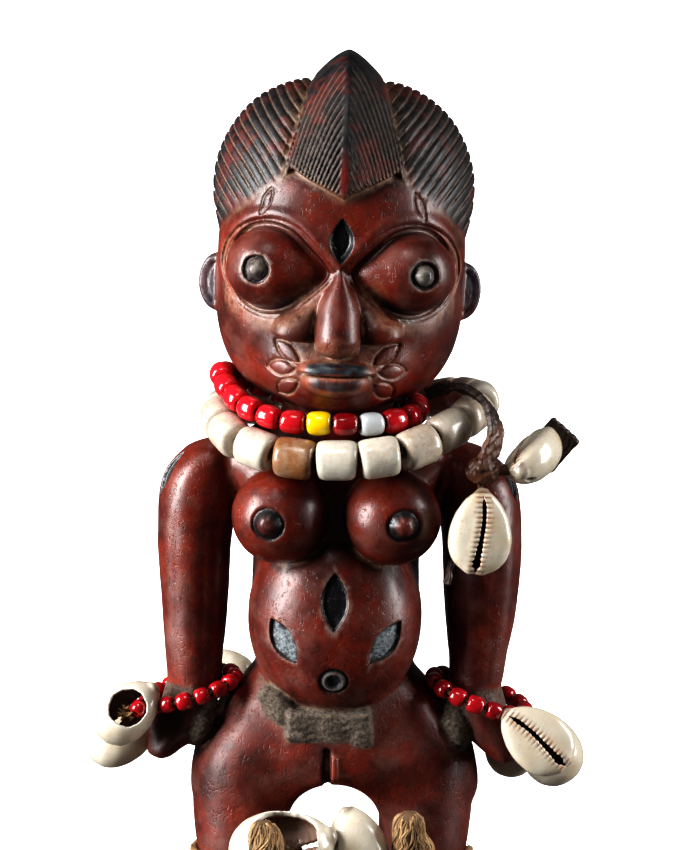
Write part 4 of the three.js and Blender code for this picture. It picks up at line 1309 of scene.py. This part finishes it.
def add_cowrie(name, spec, looks, seed):
    def field(q):
        return cowrie_field(q, spec, seed)

    reach = np.array([COWRIE["width"] * 0.62, COWRIE["length"] * 0.54, COWRIE["height"] * 0.85])
    obj = carve(name + "_shell", field, -reach, reach, SHELL_STEP, SHELL_TRIANGLES, settle=0.5)
    q = co_of(obj)
    hollow, _, _ = hollows(field, q, 0.5)
    across, _ = mouth_line(q)
    mouth = bump(across, 2.8) * smooth((q[:, 2] + 0.5) / 2)
    inner = smooth((egg(q) * -1 - 0.7) / 0.5)
    broken = bump(breach_reach(q) - spec["hole"], 1.0) if "hole" in spec else 0
    # The slit and the other hollows get painted shade, and the narrow end is painted darker too.
    crease = np.maximum(smooth((hollow - 0.1) / 0.5), 0.6 * smooth((q[:, 1] - 10.6) / 0.8))
    set_numbers(obj, "tooth", q[:, 1] / TOOTH_SPACING + 0.5)
    paint(obj, inner=inner, mouth=mouth, crease=crease, broken=broken, note=spec["stain"])
    axes = shell_axes(spec["tip"], spec["mouth"])
    world = q * spec.get("size", 1) @ axes.T + np.array(spec["at"])
    obj.data.vertices.foreach_set("co", (world * MM).astype(np.float32).ravel())
    obj.data.update()
    return keep(obj, "shell", name, material=looks["shell"])


SHELLS = {
    "hanging_cowrie": {
        "at": (39.2, -29.5, 146.6), "tip": (0.04, 0, 1), "mouth": (0.1, -1, 0.05),
        "stain": 0.7, "pierced": True,
    },
    "side_cowrie": {
        "at": (52.8, -16.6, 166), "tip": (-0.3, -0.93, -0.2), "mouth": (-0.6, 0.1, 0.7),
        "stain": 0.5, "pierced": True,
    },
    "right_wrist_cowrie_1": {
        "at": (-57.8, -12.4, 90.8), "tip": (0.6, 0.1, 0.5), "mouth": (-0.2, 0.9, -0.45),
        "stain": 0.3, "size": 0.92, "hole": 5.9, "ragged": 0.3,
    },
    "right_wrist_cowrie_2": {
        "at": (-60.4, -1, 79.4), "tip": (0.9, 0.1, 0.25), "mouth": (0, 0.8, -0.6),
        "stain": 0.4, "size": 0.86,
    },
    "right_wrist_cowrie_3": {
        "at": (-43, 17.6, 90), "tip": (0.8, -0.3, 0.3), "mouth": (0.3, 0.9, 0),
        "stain": 0.4, "size": 0.8,
    },
    "right_wrist_cowrie_4": {
        "at": (-30.5, 25.8, 94), "tip": (-0.9, 0.1, 0.6), "mouth": (0.2, 0.9, 0.2),
        "stain": 0.5, "size": 0.7,
    },
    "left_wrist_cowrie_1": {
        "at": (56.8, -16, 85.6), "tip": (-0.78, 0, 0.62), "mouth": (0.15, -1, 0.2),
        "stain": 0.35,
    },
    "left_wrist_cowrie_2": {
        "at": (61.4, 2, 78.6), "tip": (-0.45, -0.1, 0.8), "mouth": (0.1, 0.9, -0.2),
        "stain": 0.6, "size": 1.02,
    },
    "left_wrist_cowrie_3": {
        "at": (50.8, 11, 76.5), "tip": (-0.2, -0.3, 0.9), "mouth": (0.3, 0.9, -0.1),
        "stain": 0.4, "size": 0.85,
    },
    "right_leg_cut_cowrie": {
        "at": (-13.6, -28, 56), "tip": (1, 0, 0.25), "mouth": (0, 0.75, -0.6),
        "stain": 0.4, "size": 1.3, "hole": 7.4, "ragged": 0.35,
    },
    "left_leg_cowrie": {
        "at": (7.2, -23.6, 56.8), "tip": (-0.32, 0, 1), "mouth": (0.1, 1, 0),
        "stain": 0.6, "size": 0.94,
    },
}


# Leather
def strap_field(P, path, half_width, thick, twist):
    """A strap of leather: a flat section carried along a path, its flat side away from the neck."""
    tangent = np.gradient(path, axis=0)
    tangent /= np.linalg.norm(tangent, axis=1)[:, None]
    outward = path * np.array([1, 1, 0]) + np.array([0, 0, 6.0])
    deep = outward - tangent * (outward * tangent).sum(1)[:, None]
    deep /= np.linalg.norm(deep, axis=1)[:, None]
    wide = np.cross(tangent, deep)
    c, s = np.cos(twist)[:, None], np.sin(twist)[:, None]
    wide, deep = wide * c + deep * s, deep * c - wide * s
    best = np.full(len(P), 1e9)
    nearest = np.zeros(len(P), int)
    for i, at in enumerate(path):
        d = ((P - at) ** 2).sum(1)
        closer = d < best
        best[closer] = d[closer]
        nearest[closer] = i
    q = P - path[nearest]
    spacing = np.linalg.norm(path[1] - path[0])
    round_by = 0.45
    a = np.abs((q * wide[nearest]).sum(1)) - half_width[nearest] + round_by
    b = np.abs((q * deep[nearest]).sum(1)) - thick + round_by
    c = np.abs((q * tangent[nearest]).sum(1)) - spacing * 0.6
    outside = np.sqrt(np.maximum(a, 0) ** 2 + np.maximum(b, 0) ** 2 + np.maximum(c, 0) ** 2)
    return outside + np.minimum(np.maximum(a, np.maximum(b, c)), 0) - round_by


THONG_OVER = (
    (25, -13, 182.2), (29.5, -13.5, 184), (35, -16, 183.9), (40.6, -21, 180.4), (43, -25, 173.5),
    (41, -26.5, 167), (39.5, -25.5, 162.5),
)
THONG_SIDE = ((39, -25, 163), (45, -23.5, 162.6), (50, -20.5, 164.4), (52.6, -17, 165.2))
THONG_DOWN = ((39, -24.5, 161), (39.2, -26.5, 157), (39.2, -29, 153.5), (39.2, -30, 149.5))
THONG_LOOSE = (
    (39.5, -22.5, 161), (38.2, -19.9, 152), (34.5, -18.6, 143), (31.8, -18.2, 135.5),
    (31.0, -18.6, 130.5),
)
THONG_STEP, THONG_TRIANGLES = 0.32, 60000
KNOT_AT = (39.8, -25.0, 163.0)
KNOT_LOOPS = ((35, 10, 3.6), (-40, 35, 3.4), (80, -20, 3.2))
TOGGLE = {"at": (59.8, -4.2, 166.9), "size": (10.8, 3.0, 13.0), "turn": (12, 38, -20)}
TOGGLE_REACH, TOGGLE_STEP, TOGGLE_TRIANGLES = 9.5, 0.3, 20000
PEG_PATH = ((-2.4, -4.2, -0.4), (-2.0, -3.4, -0.2), (-1.8, -2.6, 0.0), (-1.6, -1.8, 0.1))


def straps():
    """Each strap of the thong: its path, half widths, half thickness and twist."""
    t = np.linspace(0, 1, 61)
    width = 1.9 + 1.3 * smooth((t - 0.35) / 0.3) - 0.9 * smooth((t - 0.85) / 0.15)
    yield curve_through(THONG_OVER, samples=60), width, 1.05, 0.5 - 0.8 * t
    width = np.linspace(1.7, 2.2, 41)
    yield curve_through(THONG_SIDE, samples=40), width, 1.0, np.linspace(0.9, 2.2, 41)
    width = np.full(31, 1.2)
    yield curve_through(THONG_DOWN, samples=30), width, 0.8, np.linspace(0.8, 0.1, 31)
    width = 1.3 + 0.3 * np.sin(np.linspace(0, 7, 41))
    yield curve_through(THONG_LOOSE, samples=40), width, 0.6, np.linspace(0.2, 1.2, 41)


def thong_field(P):
    d = np.full(len(P), 9.0)
    for path, width, thick, twist in straps():
        d = smin(d, strap_field(P, path, width, thick, twist), 0.35)
    q = P - np.array(KNOT_AT)
    for tilt, yaw, r in KNOT_LOOPS:
        k = q @ turned(x=tilt, z=yaw)
        ring = np.hypot(np.hypot(k[:, 0], k[:, 1] * 1.25) - r, k[:, 2] * 0.62) - 1.35
        d = smin(d, ring, 0.3)
    d = smin(d, ellipsoid(P, KNOT_AT, (3.6, 2.8, 3.4)), 0.4)
    folds = np.abs(np.sin((P[:, 0] * 0.8 - P[:, 2] * 1.15 + P[:, 1] * 0.5) + 1.3 * wobble(P, 6, 41)))
    return d + 0.22 * (1 - folds) + 0.12 * wobble(P, 1.7, 42)


def toggle_field(P):
    q = (P - np.array(TOGGLE["at"])) @ turned(*TOGGLE["turn"])
    half = np.array(TOGGLE["size"]) / 2
    cupped = q + np.array([[0, 1, 0]]) * (0.012 * q[:, :1] ** 2 - 0.25)
    d = boxy(cupped, (0, 0, 0), half - np.array([0.1, 0.2, 0.1]), 1.1)
    crack = np.abs(np.sin(q[:, 0] * 1.7 + 1.2 * wobble(P, 4, 43)))
    return d + 0.18 * (1 - crack) + 0.1 * wobble(P, 1.5, 44)


def wear_and_crease_shade(obj, field, note):
    hollow, edge, _ = hollows(field, co_of(obj), 0.6)
    # The folds and hollows get painted shade; the proud edges are lighter where rubbed.
    paint(obj, crease=smooth(hollow * 1.6), worn=smooth(edge * 1.4), note=note)


def make_leather(looks):
    points = np.vstack([path for path, *_ in straps()])
    low = np.minimum(points.min(0) - 4, (33, -31, 157))
    high = np.maximum(points.max(0) + 4, (46, -20, 169))
    obj = carve("thong", thong_field, low, high, THONG_STEP, THONG_TRIANGLES)
    x, _, z = co_of(obj).T
    wear_and_crease_shade(obj, thong_field, smooth((176 - z + 0.6 * (x - 40)) / 5) * smooth((z - 150) / 4))
    keep(obj, "leather", "leather_thong", material=looks["leather"])
    at = np.array(TOGGLE["at"])
    low, high = at - TOGGLE_REACH, at + TOGGLE_REACH
    obj = carve("toggle", toggle_field, low, high, TOGGLE_STEP, TOGGLE_TRIANGLES)
    wear_and_crease_shade(obj, toggle_field, 0.15)
    keep(obj, "leather", "leather_toggle", material=looks["leather"])
    peg = Builder()
    peg.tube(at + np.array(PEG_PATH), np.array([0.55, 0.8, 0.8, 0.7]), 16, note=0.1)
    obj = peg.build("toggle_peg")
    paint(obj, inner=0, mouth=0, crease=0, broken=0)
    keep(obj, "shell", material=looks["shell"])


# Wrists
WRISTLET = {
    -1: {"x": -40.6, "y": -2.5, "z": 95.2, "rx": 12.4, "ry": 11.6, "slope": 0.3},
    1: {"x": 41.0, "y": -3.0, "z": 95.0, "rx": 13.0, "ry": 12.0, "slope": -0.34},
}
WRIST_BEADS = {"r": 2.6, "length": 4.7, "count": 15}
WRIST_BEAD_FORM = {"sides": 32, "barrel": 0.18}
WISPS = 14
SIDE_NAME = {-1: "right", 1: "left"}


def wrist_path(side):
    w = WRISTLET[side]
    angle = np.linspace(0, 2 * math.pi, 16, endpoint=False)
    dx, dy = w["rx"] * np.cos(angle), w["ry"] * np.sin(angle)
    points = np.column_stack([w["x"] + dx, w["y"] + dy, w["z"] + w["slope"] * dx + 0.05 * dy])
    return curve_through(points, True)


def fill_broken_shell(beads, cords, rng):
    """The loose bead and the wisps of fibre in the right wristlet's broken shell."""
    inside = np.array(SHELLS["right_wrist_cowrie_1"]["at"]) + np.array([3.4, -2.2, 1.4])
    add_bead(beads, inside, np.array([0.5, 0.5, 0.6]), 2.4, 4.0, rng, 0.7, **WRIST_BEAD_FORM)
    bend = np.linspace(-1, 1, 10)[:, None]
    for _ in range(WISPS):
        lean = unit(rng.normal(0, 1, 3))
        bow = (1 - bend**2) * rng.normal(0, 0.7, 3)
        cords.tube(inside + np.array([-3.5, 0.6, -1.6]) + bend * lean * 2.6 + bow, 0.3, 6, note=0.8)


def make_wristlet(side, looks):
    rng = np.random.default_rng(20 + side)
    path = wrist_path(side)
    beads, cords = Builder(), Builder()
    cords.twisted(path, STRING_R * 0.85, closed=True, note=0.25)
    for i in range(WRIST_BEADS["count"]):
        at, along = spot(path, i / WRIST_BEADS["count"])
        r = WRIST_BEADS["r"] * rng.uniform(0.9, 1.0)
        length = WRIST_BEADS["length"] * rng.uniform(0.88, 1.02)
        add_bead(beads, at, along, r, length, rng, rng.uniform(0.45, 0.85), **WRIST_BEAD_FORM)
    wrist = SIDE_NAME[side] + "_wrist"
    for name, spec in SHELLS.items():
        if not name.startswith(wrist):
            continue
        start = path[np.argmin(np.linalg.norm(path - np.array(spec["at"]), axis=1))]
        reach = np.array(spec["at"]) - start
        share = np.linspace(0, 0.86, 24)[:, None]
        sag = np.sin(share * math.pi) * np.array([0, 0, -0.5])
        cords.twisted(start + reach * share + sag, STRING_R * 0.8, strands=2, lay=2.4, note=0.7)
        cords.tube(start + reach * np.linspace(0.02, 0.2, 8)[:, None], 1.25, 12, note=0.0)
    if side < 0:
        fill_broken_shell(beads, cords, rng)
    keep(cords.build(wrist + "_cords"), "fibre", material=looks["fibre"])
    keep(beads.build(wrist + "_beads"), "red_beads", wrist + "let", material=looks["red"])


# Shins
LEG_CORD = {"x": 24.5, "y": -2.8, "low": 41.9, "high": 49.3, "turns": 4, "rx": 14.6, "ry": 15.0, "r": 1.35}
LEG_HAIRS = 60
KNOT_STRANDS = 110
LEG_KNOTS = {
    "right_leg_fibre_knot": (
        (-18.6, -41, 68.2, 1.6, 1.4), (-18.2, -41, 66, 4.2, 3), (-17.6, -41, 61, 5.2, 3.8),
        (-18.4, -41, 54.6, 4.4, 3),
    ),
    "left_leg_fibre_knot": (
        (21.4, -26, 67, 1.6, 1.6), (21.4, -26, 65, 4.4, 4), (21.6, -25.6, 60.6, 5.2, 4.6),
        (22.8, -25, 56.6, 6.4, 4.4), (23.4, -24.6, 51, 6, 3.8),
    ),
}


def make_leg_cord(side, looks):
    rng = np.random.default_rng(50 + side)
    build = Builder()
    c = LEG_CORD
    t = np.linspace(0, 1, 420)
    angle = 2 * math.pi * c["turns"] * t
    wander = 0.25 * np.sin(3.3 * angle) + 0.18 * np.sin(7.1 * angle)
    path = np.column_stack([
        side * c["x"] + c["rx"] * np.cos(angle), c["y"] + c["ry"] * np.sin(angle),
        c["low"] + (c["high"] - c["low"]) * t + 0.6 * wander,
    ])
    build.twisted(path, c["r"], strands=3, lay=5.5, sides=8, note=0.5)
    for _ in range(LEG_HAIRS):
        a, z = rng.uniform(0, 2 * math.pi), rng.uniform(c["low"] - 0.8, c["high"] + 0.8)
        run = np.linspace(0, rng.uniform(0.25, 0.8), 14)
        lift = 1.25 + 0.35 * np.sin(run * 9 + a)
        hair_path = np.column_stack([
            side * c["x"] + (c["rx"] + lift) * np.cos(a + run), c["y"] + (c["ry"] + lift) * np.sin(a + run),
            z + rng.uniform(-2, 2) * run,
        ])
        build.tube(hair_path, 0.14, 5, note=rng.uniform(0.5, 1.0))
    name = SIDE_NAME[side] + "_leg_cord"
    keep(build.build(name + "_wraps"), "fibre", name, material=looks["fibre"])


def make_leg_knot(name, looks):
    """A frayed bunch: strands laid over a lump, gathered at its top."""
    rng = np.random.default_rng(len(name))
    table = spline(LEG_KNOTS[name])
    low, high = table[0, 2], table[-1, 2]
    build = Builder()
    z = np.linspace(low + 0.2, high - 0.2, 26)
    angle = np.linspace(0, 2 * math.pi, 28, endpoint=False)
    cx, cy, hw, hd = (np.interp(z, table[:, 2], table[:, i]) for i in (0, 1, 3, 4))
    core = np.stack([
        cx[:, None] + 0.86 * hw[:, None] * np.cos(angle), cy[:, None] + 0.86 * hd[:, None] * np.sin(angle),
        np.repeat(z[:, None], 28, 1),
    ], -1)
    build.grid(core, note=0.2)
    for _ in range(KNOT_STRANDS):
        start, turn = rng.uniform(0, 2 * math.pi), rng.normal(0.9, 0.5)
        share = np.linspace(rng.uniform(0, 0.3), rng.uniform(0.75, 1), 26)
        around = start + turn * share + 0.1 * np.sin(share * rng.uniform(8, 20))
        level = np.clip(share, 0, 1) * (len(z) - 1)
        at = [np.interp(level, np.arange(len(z)), v) for v in (cx, cy, hw, hd, z)]
        lift = rng.uniform(0.80, 0.89)
        path = np.column_stack([
            at[0] + lift * at[2] * np.cos(around), at[1] + lift * at[3] * np.sin(around), at[4],
        ])
        build.tube(path, rng.uniform(0.22, 0.42), 6, note=rng.uniform(0.3, 1.0))
    keep(build.build(name + "_strands"), "fibre", name, material=looks["fibre"])


# Materials of what the figure wears
def bead_material(name, fresh, old, rough, grime=0.5, coat=0.3):
    material, s, shader = new_material(name)
    note = s.attribute("note")
    share = s.math("ADD", note, s.cloud(4.5, 4, 0.6, 0.35, 0.75, -0.18, 0.25), clamp=True)
    dirt = s.cloud(1.4, 5, 0.7, 0.55, 0.72, 0, grime, shift=0.2)
    colour = s.over(s.mix(share, fresh, old), (92, 62, 40), dirt, s.span(note, 0.0, 0.6, 0.25, 1.0))
    s.feed(shader.inputs["Base Color"], colour)
    s.feed(shader.inputs["Roughness"], s.cloud(2.0, 3, 0.6, 0.3, 0.7, rough * 0.7, rough * 1.4))
    s.feed(shader.inputs["Normal"], s.bump(s.noise(1.1, 3, 0.6), 0.12, 0.35))
    shader.inputs["Coat Weight"].default_value = coat
    shader.inputs["Coat Roughness"].default_value = 0.12
    return material


def shell_material():
    material, s, shader = new_material("cowrie_shell")
    note = s.attribute("note")
    blotch = s.product(s.cloud(6, 4, 0.6, 0.45, 0.68), s.span(note, 0.2, 0.8, 0.3, 0.9))
    colour = s.mix(blotch, (206, 197, 180), (188, 166, 132))
    spots = s.cloud(1.3, 4, 0.7, 0.6, 0.7, shift=0.6)
    colour = s.over(colour, (168, 112, 64), spots, s.span(note, 0, 1, 0.1, 0.8))
    colour = s.over(colour, (190, 120, 66), "mouth", s.cloud(2.2, 3, 0.55, 0.4, 0.65), 0.35)
    near_mouth = s.span(s.attribute("mouth"), 0.35, 0.8)
    colour = s.over(colour, (112, 68, 40), s.comb_line("tooth", 0.1, 0.26), near_mouth, 0.75)
    colour = s.over(colour, (240, 236, 224), "broken", 0.5)
    # Painted shade in the slit and the hollows, with a darker narrow end.
    colour = s.over(colour, (74, 44, 28), "crease", 0.85)
    colour = s.over(colour, (104, 62, 42), "inner", 0.8)
    s.feed(shader.inputs["Base Color"], colour)
    s.feed(shader.inputs["Roughness"], s.cloud(3, 3, 0.55, 0.3, 0.7, 0.2, 0.38))
    shader.inputs["Coat Weight"].default_value = 0.25
    shader.inputs["Coat Roughness"].default_value = 0.15
    return material


def leather_material():
    material, s, shader = new_material("old_leather")
    colour = s.mix(s.attribute("note"), (34, 26, 24), (92, 56, 36))
    colour = s.over(colour, (52, 34, 26), s.cloud(3, 4, 0.55, 0.4, 0.7, 0, 0.5))
    colour = s.over(colour, (126, 84, 56), "worn", 0.35)
    # Painted shade in the folds and hollows.
    colour = s.over(colour, (18, 12, 10), "crease", 0.8)
    s.feed(shader.inputs["Base Color"], colour)
    s.feed(shader.inputs["Roughness"], s.cloud(2, 3, 0.55, 0.3, 0.7, 0.3, 0.6))
    s.feed(shader.inputs["Normal"], s.bump(s.noise(0.9, 4, 0.65), 0.25, 0.6))
    return material


def fibre_material():
    material, s, shader = new_material("plant_fibre")
    colour = s.mix(s.attribute("note"), (46, 34, 26), (184, 150, 108))
    colour = s.over(colour, (118, 84, 56), s.cloud(3, 4, 0.55, 0.45, 0.7, 0, 0.6))
    s.feed(shader.inputs["Base Color"], colour)
    shader.inputs["Roughness"].default_value = 0.85
    s.feed(shader.inputs["Normal"], s.bump(s.noise(0.5, 3, stretch=(1, 1, 0.3)), 0.15, 0.6))
    return material


def make_looks():
    return {
        "white": bead_material("white_trade_bead", (202, 196, 182), (132, 90, 56), 0.28, 0.6),
        "red": bead_material("red_glass", (214, 30, 44), (104, 10, 16), 0.16, 0.25, 0.5),
        "yellow": bead_material("yellow_glass", (240, 206, 10), (214, 168, 6), 0.16, 0.2, 0.5),
        "milky": bead_material("milky_glass", (204, 208, 210), (184, 188, 188), 0.14, 0.1, 0.5),
        "shell": shell_material(),
        "leather": leather_material(),
        "fibre": fibre_material(),
    }


add_camera()
add_studio()
make_figure()
looks = make_looks()
make_necklaces(looks)
make_leather(looks)
for number, (name, spec) in enumerate(SHELLS.items()):
    add_cowrie(name, spec, looks, number)
for side in SIDES:
    make_wristlet(side, looks)
    make_leg_cord(side, looks)
for name in LEG_KNOTS:
    make_leg_knot(name, looks)
